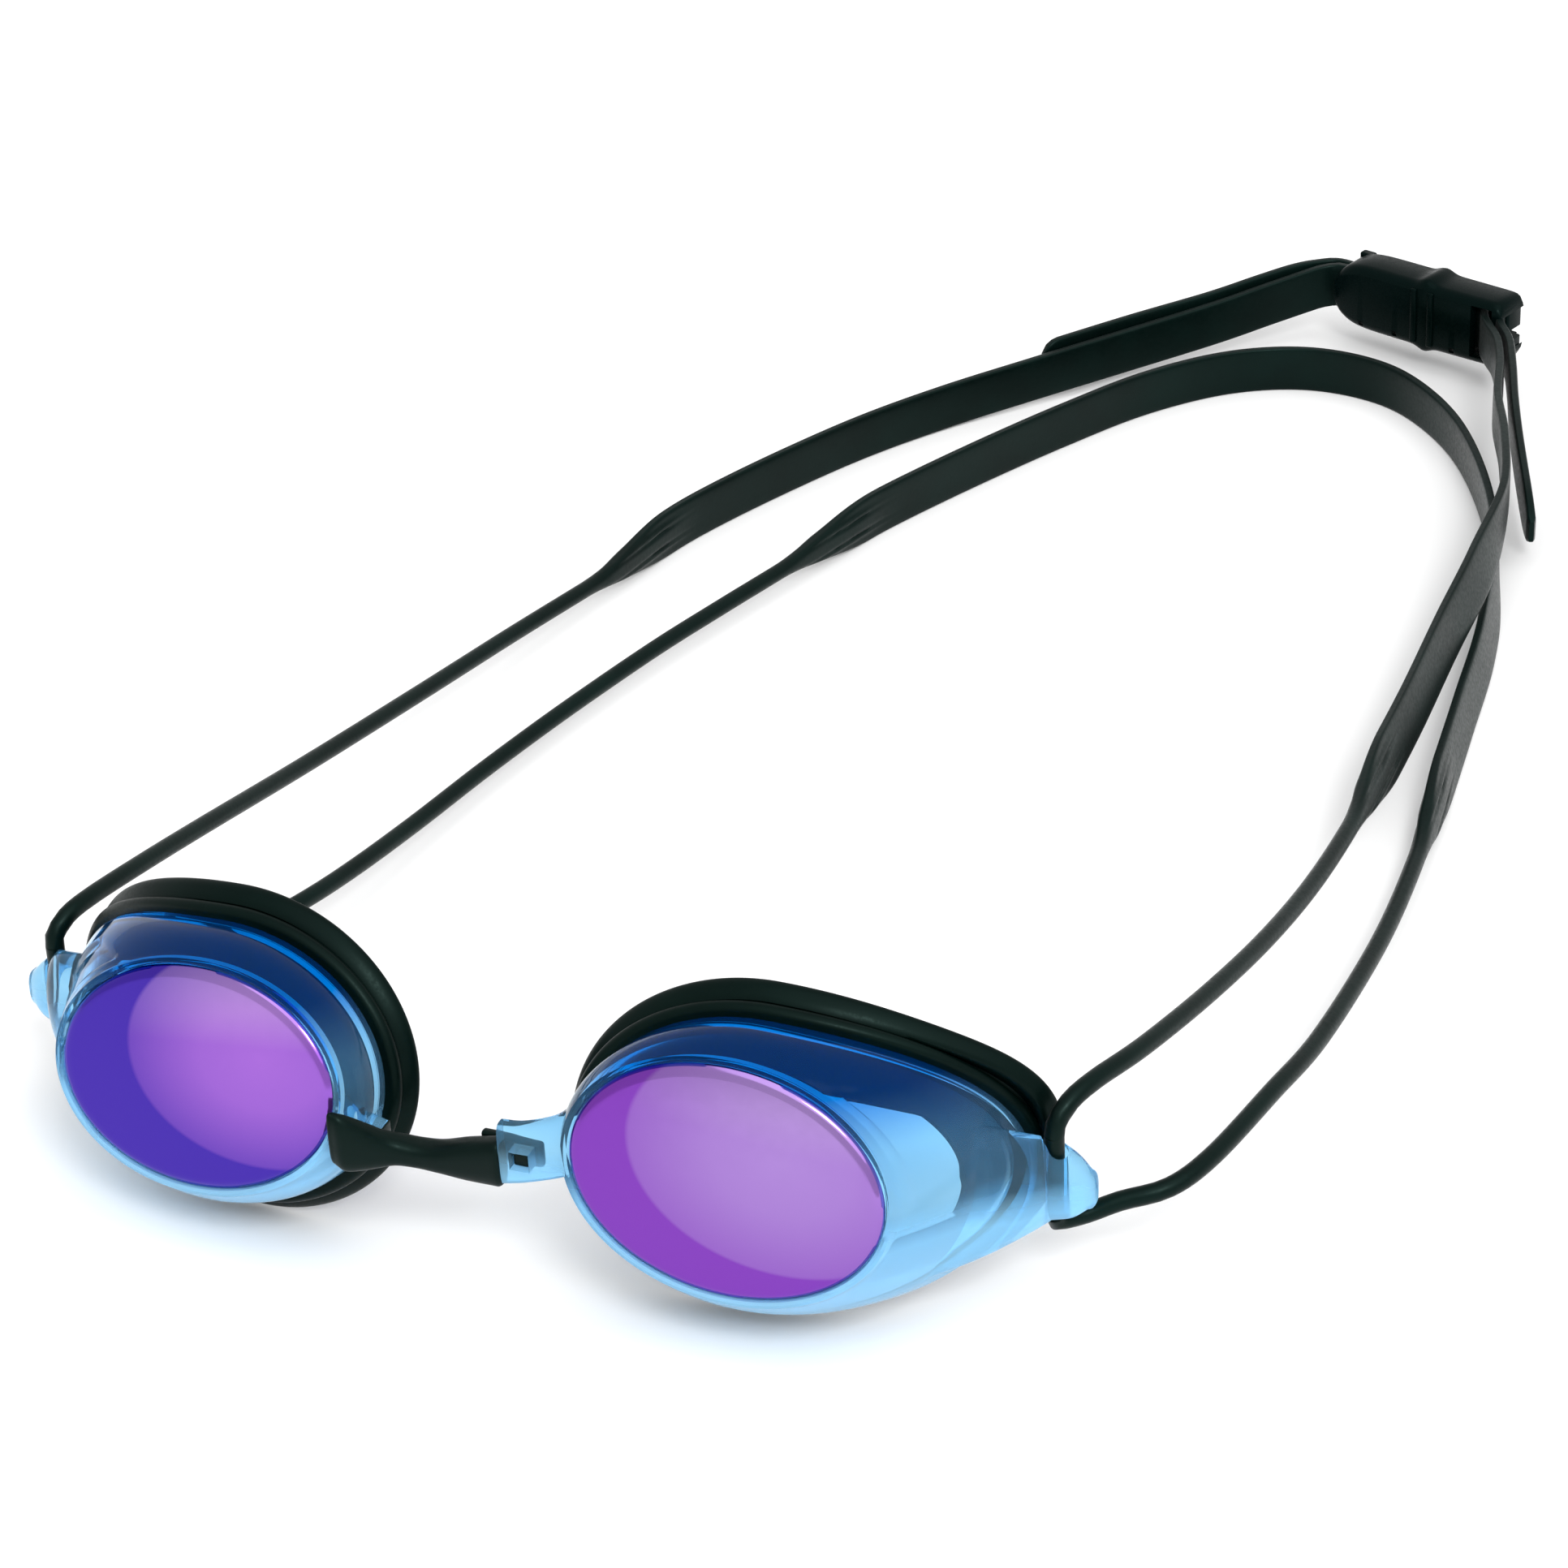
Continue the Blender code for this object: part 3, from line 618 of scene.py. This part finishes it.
def tail_form(to_end, point):
    """A flat band whose free end draws in over point mm."""
    tall = BAND_TALL / 2 * (1 - (1 - min(1.0, 0.12 + to_end / point)) ** 2) ** 0.5
    thick = BAND_THICK / 2 * min(1.0, 0.55 + to_end / 1.5)
    return thick, tall, 6.0, 0.0


def section_ring(place, sideways, height, form):
    """One closed section of a cord or band, with the rib and its grooves on both faces."""
    thick, tall, power, rib = form
    ring = []
    for k in range(CORD_STEPS):
        a = 2 * math.pi * (k + 0.5) / CORD_STEPS
        across, over = squared_circle(a, power)
        x, y = thick * across, tall * over
        if rib > 0:
            full = rib / (CORD - BAND_THICK / 2)
            raised = rib * math.exp(-(y / RIDGE_WIDTH) ** 6)
            sunk = GROOVE * full * math.exp(-((abs(y) - GROOVE_AT) / GROOVE_WIDTH) ** 2)
            x += math.copysign(raised - sunk, across) * min(1.0, abs(math.cos(a)) * 3)
        ring.append(place + sideways * x + height * y)
    return ring


def lean_over(sideways, height, place, lean):
    """Turns a section so that its top leans by up to lean degrees, away from sideways."""
    share = smoothstep((LEAN_FROM - place.y) / LEAN_OVER) if place.x > 0 else 0.0
    angle = math.radians(lean) * share
    return (math.cos(angle) * sideways + math.sin(angle) * height,
            math.cos(angle) * height - math.sin(angle) * sideways)


def strap_rings(points, form_at, lean=0.0):
    """A section at each point; form_at(distance along, total) gives its form."""
    along = [0.0]
    for p, q in zip(points, points[1:]):
        along.append(along[-1] + (q - p).length)
    # the height direction is carried along the route, so it never flips at the vertical ends
    height = Vector((0, 0, 1))
    first = (points[1] - points[0]).normalized()
    if abs(first.z) > 0.8:
        height = Vector((0, -1, 0)) if first.z > 0 else Vector((0, 1, 0))
    rings = []
    for i, p in enumerate(points):
        tangent = (points[min(i + 1, len(points) - 1)] - points[max(i - 1, 0)]).normalized()
        upright = Vector((0, 0, 1)) if abs(tangent.z) < 0.7 else height
        height = (upright - upright.dot(tangent) * tangent).normalized()
        sideways, top = lean_over(tangent.cross(height), height, p, lean)
        rings.append(section_ring(p, sideways, top, form_at(along[i], along[-1])))
    return rings


def tube(name, rings):
    points = [p for ring in rings for p in ring]
    return solid(name, points, rings_to_faces(len(rings), CORD_STEPS, False), 55)


def make_upper_strap(name, cord, band, material):
    points = smooth_route(cord + band, STRAP_SPACING)
    cord_length = length_of(smooth_route(cord, STRAP_SPACING))
    rings = strap_rings(points, lambda at, total: band_form(at - cord_length), UPPER_LEAN)
    strap = tube(name + "_strap", rings)
    dress(strap, material, [name + "_cord", name + "_band"])
    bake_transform(strap)


def make_lower_strap(material):
    """The lower strap from eye to eye, split where it leaves each cup."""
    route = LOWER_LEFT_CORD + LOWER_BAND + LOWER_RIGHT_CORD[::-1]
    points = smooth_route(route, STRAP_SPACING)
    left = length_of(smooth_route(LOWER_LEFT_CORD, STRAP_SPACING))
    right = length_of(smooth_route(LOWER_RIGHT_CORD, STRAP_SPACING))
    rings = strap_rings(points, lambda at, total: band_form(min(at - left, total - right - at)),
                        -LOWER_LEAN)
    behind = [i for i, p in enumerate(points) if p.y > BLEND_Y[1]]
    first, last = behind[0], behind[-1]
    stretches = (("lower_left_bend", rings[:first + 1], ["lower_left_cord"]),
                 ("lower_right_bend", rings[last:], ["lower_right_cord"]))
    for name, part, nodes in stretches:
        bend = dress(tube(name, part), material, nodes)
        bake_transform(bend)
    strap = tube("lower_strap_band", rings[first:last + 1])
    dress(strap, material, ["lower_left_band", "lower_back_band", "lower_right_band"])
    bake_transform(strap)


def make_eye_cord(side, name, material):
    """The short stretch of cord inside the lug's eye."""
    through = [(side * EYE[0], EYE[1], EYE[2] + dz) for dz in (5.7, 1.9, -1.9, -5.7)]
    rings = strap_rings(smooth_route(through, STRAP_SPACING), lambda at, total: (CORD, CORD, 2.0, 0.0))
    cord = dress(tube(name + "_eye_loop", rings), material, [name + "_eye_cord"])
    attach(cord, "front")


def make_tail(name, route, point, material):
    rings = strap_rings(smooth_route(route, 1.0), lambda at, total: tail_form(total - at, point))
    tail = dress(tube(name + "_end", rings), material, [name])
    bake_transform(tail)


# ---- buckle ----
BUCKLE_CENTRE = (44.0, 275.8, 10.3)
BUCKLE_TURN = Matrix.Rotation(math.radians(-19.2), 3, "Z")
BUCKLE_HALF = 16.0                   # half length
BUCKLE_TALL = 5.7                    # half height
PLATE = (-2.2, -0.6)                 # depths of the plate on the head's side
BARS = (3.7, 4.9)                    # depths of the bars on the outer side
RAIL = 1.2                           # height of the rails above and below the strap
POST_AT = 1.5                        # where the middle post stands, along the buckle
PLATE_END = 10.6                     # the plate stops here, where the right strap passes in
BAR_PLACES = ((-13.8, 1.3), (POST_AT, 1.4), (13.6, 1.3))   # middle and half width of each bar
HOLES_AT = (-10.6, -3.9, 7.2)        # drain holes along the lower rail
HOLE_HALF = 0.45
RIBS_AT = (POST_AT - 2.2, POST_AT + 1.0)   # grip ribs on the plate
RIB_WIDTH = 1.1


def buckle_height(x):
    """Half height along the buckle: swollen at the middle post, rounded off at the ends."""
    swell = 0.75 * math.exp(-((x - POST_AT) / 1.5) ** 2)
    power = 30 if x > 0 else 7
    return (BUCKLE_TALL + swell) * (1 - abs(x / (BUCKLE_HALF + 0.4)) ** power) ** 0.45


def buckle_solid(name, points, faces, sharp=30.0):
    return solid(name, [Vector(BUCKLE_CENTRE) + BUCKLE_TURN @ Vector(p) for p in points], faces, sharp)


def buckle_box(name, low, high, radius):
    block = box(name, low, high, BUCKLE_TURN, BUCKLE_CENTRE)
    return round_edges(block, radius) if radius else block


def make_buckle(material):
    """A channel that both strap ends run through, closed by bars on its outer side."""
    count = 65
    points = []
    for i in range(count):
        x = -BUCKLE_HALF + 2 * BUCKLE_HALF * i / (count - 1)
        tall = buckle_height(x)
        inner = min(tall - 1.05, BUCKLE_TALL - RAIL)
        crown = 0.35 * (1 - (x / BUCKLE_HALF) ** 2)
        back, front = PLATE[0] - crown, BARS[1]
        under = [(back, 1.5), (back + 0.2, 0.8), (back + 0.8, 0.2), (back + 1.6, 0.0),
                 (front - 1.0, 0.0), (front - 0.3, 0.3), (front, 1.0)]
        outline = [(y, drop - tall) for y, drop in under] + [(front, -inner), (PLATE[1], -inner)]
        outline += [(y, -z) for y, z in outline[::-1]]
        points += [(x, y, z) for y, z in outline]
    buckle = buckle_solid("ladder_buckle", points, rings_to_faces(count, len(outline), False))
    for x, width in BAR_PLACES:
        bar = buckle_box("bar", (x - width, BARS[0], 0.6 - BUCKLE_TALL),
                         (x + width, BARS[1] + 0.3, BUCKLE_TALL - 0.6), 0.35)
        combine(buckle, bar, "UNION")
    hook = buckle_box("hook", (BUCKLE_HALF - 1.5, 0.4, 1.7 - BUCKLE_TALL),
                      (BUCKLE_HALF - 0.1, BARS[1] - 0.2, BUCKLE_TALL - 1.7), 0.6)
    combine(buckle, hook, "UNION")
    for x in RIBS_AT:
        rib = buckle_box("rib", (x, PLATE[0] - 0.75, 0.9 - BUCKLE_TALL),
                         (x + RIB_WIDTH, PLATE[0] + 0.5, BUCKLE_TALL - 0.9), 0.25)
        combine(buckle, rib, "UNION")
    cut_buckle(buckle)
    shade(buckle, 35)
    dress(buckle, material, ["buckle"])
    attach(buckle, "upper_strap")


def cut_buckle(buckle):
    """The strap's way in at the right, the drain holes, and the hook's open mouth."""
    way_in = buckle_box("way_in", (PLATE_END, -5.0, RAIL - BUCKLE_TALL),
                        (BUCKLE_HALF - 1.5, -0.2, BUCKLE_TALL - RAIL), 0)
    combine(buckle, way_in, "DIFFERENCE")
    for x in HOLES_AT:
        low, high = x - HOLE_HALF, x + HOLE_HALF
        hole = buckle_box("hole", (low, -4.0, -4.9), (high, -0.4, -3.95), 0)
        combine(buckle, hole, "DIFFERENCE")
        well = buckle_box("well", (low, -1.5, -8.0), (high, 2.4, -3.95), 0)
        combine(buckle, well, "DIFFERENCE")
    mouth = buckle_box("mouth", (BUCKLE_HALF - 2.4, -4.0, -1.9), (BUCKLE_HALF + 2.0, 7.0, 0.1), 0.3)
    combine(buckle, mouth, "DIFFERENCE")


# ---- materials ----
SHADE_PAINT_REACH = 21.0                    # the cups' painted light and shade change over this height each side of the lens


def new_material(name):
    material = bpy.data.materials.new(name)
    material.use_nodes = True
    return material, material.node_tree.nodes, material.node_tree.links


def noise(nodes, links, scale, detail):
    """Noise over the object's own coordinates; scale is in features per metre."""
    place = nodes.new("ShaderNodeTexCoord")
    texture = nodes.new("ShaderNodeTexNoise")
    texture.inputs["Scale"].default_value = scale
    texture.inputs["Detail"].default_value = detail
    links.new(place.outputs["Object"], texture.inputs["Vector"])
    return texture


def ramp(nodes, links, factor, stops):
    """A colour ramp through (position, colour) stops."""
    node = nodes.new("ShaderNodeValToRGB")
    while len(node.color_ramp.elements) < len(stops):
        node.color_ramp.elements.new(0.5)
    for element, (position, color) in zip(node.color_ramp.elements, stops):
        element.position = position
        element.color = (*color, 1.0)
    links.new(factor, node.inputs["Fac"])
    return node


def grey(value):
    return (value, value, value)


def moulded_rubber(name, dark, light, rough, specular, sheen, grain, bump):
    """Moulded silicone or rubber: a fine matt grain with slow changes of tone and gloss."""
    material, nodes, links = new_material(name)
    shader = nodes["Principled BSDF"]
    slow = noise(nodes, links, 90.0, 3.0)
    tone = ramp(nodes, links, slow.outputs["Fac"], [(0.35, dark), (0.7, light)])
    links.new(tone.outputs["Color"], shader.inputs["Base Color"])
    fine = noise(nodes, links, grain, 2.0)
    gloss = ramp(nodes, links, fine.outputs["Fac"], [(0.3, grey(rough[0])), (0.7, grey(rough[1]))])
    links.new(gloss.outputs["Color"], shader.inputs["Roughness"])
    shader.inputs["Specular IOR Level"].default_value = specular
    shader.inputs["Specular Tint"].default_value = (0.55, 0.9, 0.82, 1.0)
    shader.inputs["Sheen Weight"].default_value = sheen
    shader.inputs["Sheen Roughness"].default_value = 0.35
    relief = nodes.new("ShaderNodeBump")
    relief.inputs["Strength"].default_value = bump
    relief.inputs["Distance"].default_value = 0.05 * MM
    links.new(fine.outputs["Fac"], relief.inputs["Height"])
    links.new(relief.outputs["Normal"], shader.inputs["Normal"])
    return material


def clear_plastic(name):
    """Tinted blue polycarbonate with painted light and shade: painted light, milky and light blue, below,
    and painted shade, clear and deeper blue, towards the top.
    """
    material, nodes, links = new_material(name)
    shader = nodes["Principled BSDF"]
    slow = noise(nodes, links, 60.0, 2.0)
    place = nodes.new("ShaderNodeTexCoord").outputs["Object"]
    rise = Vector((0, math.sin(math.radians(TILT)), math.cos(math.radians(TILT))))
    lowest = placed((0, 0, LENS_HEIGHT)) - rise * SHADE_PAINT_REACH * MM
    height = dotted(nodes, links, place, rise / (2 * SHADE_PAINT_REACH * MM), lowest)
    # painted light and shade: light blue lower down, darkening to deep blue at the top
    tone = ramp(nodes, links, height, [(0.0, (0.42, 0.76, 1.0)), (0.36, (0.34, 0.71, 1.0)),
                                       (0.46, (0.38, 0.75, 1.0)), (0.64, (0.28, 0.66, 1.0)),
                                       (0.78, (0.0, 0.19, 0.68))])
    links.new(tone.outputs["Color"], shader.inputs["Base Color"])
    # less transmission lower down gives the painted milky light
    clear = ramp(nodes, links, height, [(0.0, grey(0.45)), (0.36, grey(0.52)), (0.46, grey(0.93))])
    links.new(clear.outputs["Color"], shader.inputs["Transmission Weight"])
    shader.inputs["IOR"].default_value = 1.14
    shader.inputs["Specular IOR Level"].default_value = 0.35
    shader.inputs["Specular Tint"].default_value = (0.2, 0.55, 1.0, 1.0)
    shader.inputs["Coat Weight"].default_value = 0.09
    shader.inputs["Coat Roughness"].default_value = 0.02
    shader.inputs["Coat Tint"].default_value = (0.7, 0.9, 1.0, 1.0)
    fine = noise(nodes, links, 260.0, 2.0)
    gloss = ramp(nodes, links, fine.outputs["Fac"], [(0.3, grey(0.02)), (0.7, grey(0.07))])
    links.new(gloss.outputs["Color"], shader.inputs["Roughness"])
    relief = nodes.new("ShaderNodeBump")
    relief.inputs["Strength"].default_value = 0.08
    relief.inputs["Distance"].default_value = 0.1 * MM
    links.new(slow.outputs["Fac"], relief.inputs["Height"])
    links.new(relief.outputs["Normal"], shader.inputs["Normal"])
    return material


def dotted(nodes, links, place, axis, centre):
    """The distance of the place from a centre along an axis."""
    node = nodes.new("ShaderNodeVectorMath")
    node.operation = "DOT_PRODUCT"
    links.new(place, node.inputs[0])
    node.inputs[1].default_value = axis
    moved = nodes.new("ShaderNodeMath")
    moved.operation = "SUBTRACT"
    links.new(node.outputs["Value"], moved.inputs[0])
    moved.inputs[1].default_value = axis.dot(centre)
    return moved.outputs["Value"]


def mirror_coat(name, side, shift, edge, deep, reflection_colour, reflection_top_colour):
    """Mirror coating with a painted reflection: a lighter oval of painted softbox reflection, and a darker
    crescent at one side where none is painted.

    shift moves the painted reflection's oval off the lens's middle, in half axes of the lens; edge is how
    strong the painted reflection still is where it ends, and the three colours run from the crescent to the
    painted reflection's top.
    """
    material, nodes, links = new_material(name)
    shader = nodes["Principled BSDF"]
    across, rise, inwards = cup_axes(side)
    turn = math.radians(LENS_TURN)
    long_axis = math.cos(turn) * across + math.sin(turn) * rise
    tall_axis = -math.sin(turn) * across + math.cos(turn) * rise
    centre = placed(cup_point(side, shift[0] * LENS_LONG, shift[1] * LENS_TALL, 0))
    place = nodes.new("ShaderNodeTexCoord").outputs["Object"]
    u = dotted(nodes, links, place, long_axis / (LENS_LONG * MM), centre)
    v = dotted(nodes, links, place, tall_axis / (LENS_TALL * MM), centre)
    joined = nodes.new("ShaderNodeCombineXYZ")
    links.new(u, joined.inputs["X"])
    links.new(v, joined.inputs["Y"])
    reach = nodes.new("ShaderNodeVectorMath")
    reach.operation = "LENGTH"
    links.new(joined.outputs["Vector"], reach.inputs[0])
    # painted reflection: full strength in the oval, down to edge at its rim, then the darker crescent
    inside = ramp(nodes, links, reach.outputs["Value"], [(0.0, grey(1.0)), (0.45, grey(0.85)),
                                                         (0.97, grey(edge)), (1.0, grey(0.0))])
    upper = nodes.new("ShaderNodeMapRange")
    upper.inputs["From Min"].default_value = -1.1
    upper.inputs["From Max"].default_value = 0.9
    links.new(v, upper.inputs["Value"])
    # the painted reflection's colour, lighter towards its top
    painted_reflection_tone = ramp(nodes, links, upper.outputs["Result"], [(0.0, reflection_colour), (0.6, reflection_colour), (1.0, reflection_top_colour)])
    mixed = nodes.new("ShaderNodeMix")
    mixed.data_type = "RGBA"
    mixed.inputs["A"].default_value = (*deep, 1.0)
    links.new(inside.outputs["Color"], mixed.inputs["Factor"])
    links.new(painted_reflection_tone.outputs["Color"], mixed.inputs["B"])
    links.new(mixed.outputs["Result"], shader.inputs["Base Color"])
    shader.inputs["Metallic"].default_value = 0.85
    fine = noise(nodes, links, 500.0, 3.0)
    gloss = ramp(nodes, links, fine.outputs["Fac"], [(0.3, grey(0.1)), (0.7, grey(0.17))])
    links.new(gloss.outputs["Color"], shader.inputs["Roughness"])
    shader.inputs["Coat Weight"].default_value = 0.4
    shader.inputs["Coat Roughness"].default_value = 0.04
    return material


# ---- floor, light and camera ----
CAMERA_TARGET = (27.49, 38.66, 53.56)    # datum point the camera looks at
CAMERA_AZIMUTH, CAMERA_ELEVATION, CAMERA_ROLL = 23.12, 30.99, -3.0
CAMERA_DISTANCE = 520.0
CAMERA_LENS = 101.7


def make_camera():
    azimuth, elevation = math.radians(CAMERA_AZIMUTH), math.radians(CAMERA_ELEVATION)
    roll = math.radians(CAMERA_ROLL)
    back = Vector((math.sin(azimuth) * math.cos(elevation), -math.cos(azimuth) * math.cos(elevation),
                   math.sin(elevation)))
    level = Vector((math.cos(azimuth), math.sin(azimuth), 0))
    up = back.cross(level)
    right = math.cos(roll) * level + math.sin(roll) * up
    top = -math.sin(roll) * level + math.cos(roll) * up
    data = bpy.data.cameras.new("camera")
    data.lens = CAMERA_LENS
    data.sensor_width = 36.0
    data.clip_start = 0.01
    camera = bpy.data.objects.new("camera", data)
    bpy.context.scene.collection.objects.link(camera)
    place = placed(CAMERA_TARGET) + back * CAMERA_DISTANCE * MM
    turned = Matrix((right, top, back)).transposed().to_4x4()
    camera.matrix_world = Matrix.Translation(place) @ turned
    bpy.context.scene.camera = camera


def make_floor():
    mesh = bpy.data.meshes.new("floor")
    size = 4.0
    mesh.from_pydata([(-size, -size, 0), (size, -size, 0), (size, size, 0), (-size, size, 0)], [],
                     [(0, 1, 2, 3)])
    floor = bpy.data.objects.new("floor", mesh)
    bpy.context.scene.collection.objects.link(floor)
    material, nodes, links = new_material("pale_floor")
    nodes["Principled BSDF"].inputs["Base Color"].default_value = (0.93, 0.93, 0.93, 1.0)
    nodes["Principled BSDF"].inputs["Roughness"].default_value = 0.9
    mesh.materials.append(material)


def area_light(name, place, target, size, power):
    data = bpy.data.lights.new(name, "AREA")
    data.energy = power
    data.size = size
    light = bpy.data.objects.new(name, data)
    light.location = place
    light.rotation_mode = "QUATERNION"
    light.rotation_quaternion = (Vector(target) - Vector(place)).to_track_quat("-Z", "Y")
    bpy.context.scene.collection.objects.link(light)


def overhead_light():
    """A very wide, soft light from above, a little to the right and the front."""
    data = bpy.data.lights.new("softbox_overhead", "SUN")
    data.energy = 1.3
    data.angle = math.radians(75)
    light = bpy.data.objects.new("softbox_overhead", data)
    light.rotation_euler = (math.radians(20), math.radians(24), 0)
    bpy.context.scene.collection.objects.link(light)


def make_light():
    world = bpy.data.worlds.new("studio")
    world.use_nodes = True
    background = world.node_tree.nodes["Background"]
    background.inputs["Color"].default_value = (1.0, 1.0, 1.0, 1.0)
    background.inputs["Strength"].default_value = 0.8
    bpy.context.scene.world = world
    overhead_light()
    area_light("front_right", (0.5, -0.7, 0.8), (0, 0, 0), 0.3, 5.0)
    bpy.context.scene.view_settings.view_transform = "Standard"
    bpy.context.scene.view_settings.look = "None"


def build():
    blue = clear_plastic("clear_blue")
    # mirror colours: the crescent, the painted reflection, and the painted reflection's lighter top
    mirrors = {-1: mirror_coat("purple_mirror_left", -1, (-0.5, 0.33), 0.3,
                               (0.035, 0.004, 0.33), (0.3, 0.1, 0.54), (0.56, 0.34, 0.66)),
               1: mirror_coat("purple_mirror_right", 1, (0.36, 0.26), 0.42,
                              (0.17, 0.025, 0.38), (0.31, 0.17, 0.50), (0.42, 0.30, 0.56))}
    seal = moulded_rubber("seal_black", (0.0005, 0.003, 0.0025), (0.001, 0.005, 0.004),
                          (0.3, 0.42), 0.1, 0.0, 2600.0, 0.06)
    sleeve = moulded_rubber("sleeve_black", (0.0, 0.006, 0.02), (0.0, 0.009, 0.03),
                            (0.7, 0.8), 0.03, 0.0, 900.0, 0.0)
    bridge = moulded_rubber("bridge_black", (0.0005, 0.003, 0.0025), (0.001, 0.005, 0.004),
                            (0.32, 0.46), 0.14, 0.02, 1400.0, 0.2)
    silicone = moulded_rubber("silicone_black", (0.0005, 0.003, 0.0025), (0.001, 0.006, 0.005),
                              (0.3, 0.44), 0.14, 0.05, 1800.0, 0.2)
    buckle_black = moulded_rubber("buckle_black", (0.0005, 0.003, 0.0025), (0.001, 0.004, 0.004),
                                  (0.22, 0.34), 0.06, 0.0, 1200.0, 0.1)
    for side, name in ((-1, "left"), (1, "right")):
        make_cup(side, name, blue)
        make_lens(side, name, mirrors[side])
        make_gasket(side, name, seal, sleeve)
        make_eye_cord(side, name, silicone)
    make_bridge(bridge)
    make_upper_strap("upper_left", UPPER_LEFT_CORD, UPPER_LEFT_BAND, silicone)
    make_upper_strap("upper_right", UPPER_RIGHT_CORD, UPPER_RIGHT_BAND, silicone)
    make_lower_strap(silicone)
    make_tail("left_tail", LEFT_TAIL, 3.6, silicone)
    make_tail("right_tail", RIGHT_TAIL, 11.0, silicone)
    make_buckle(buckle_black)


make_camera()
make_floor()
make_light()
build()
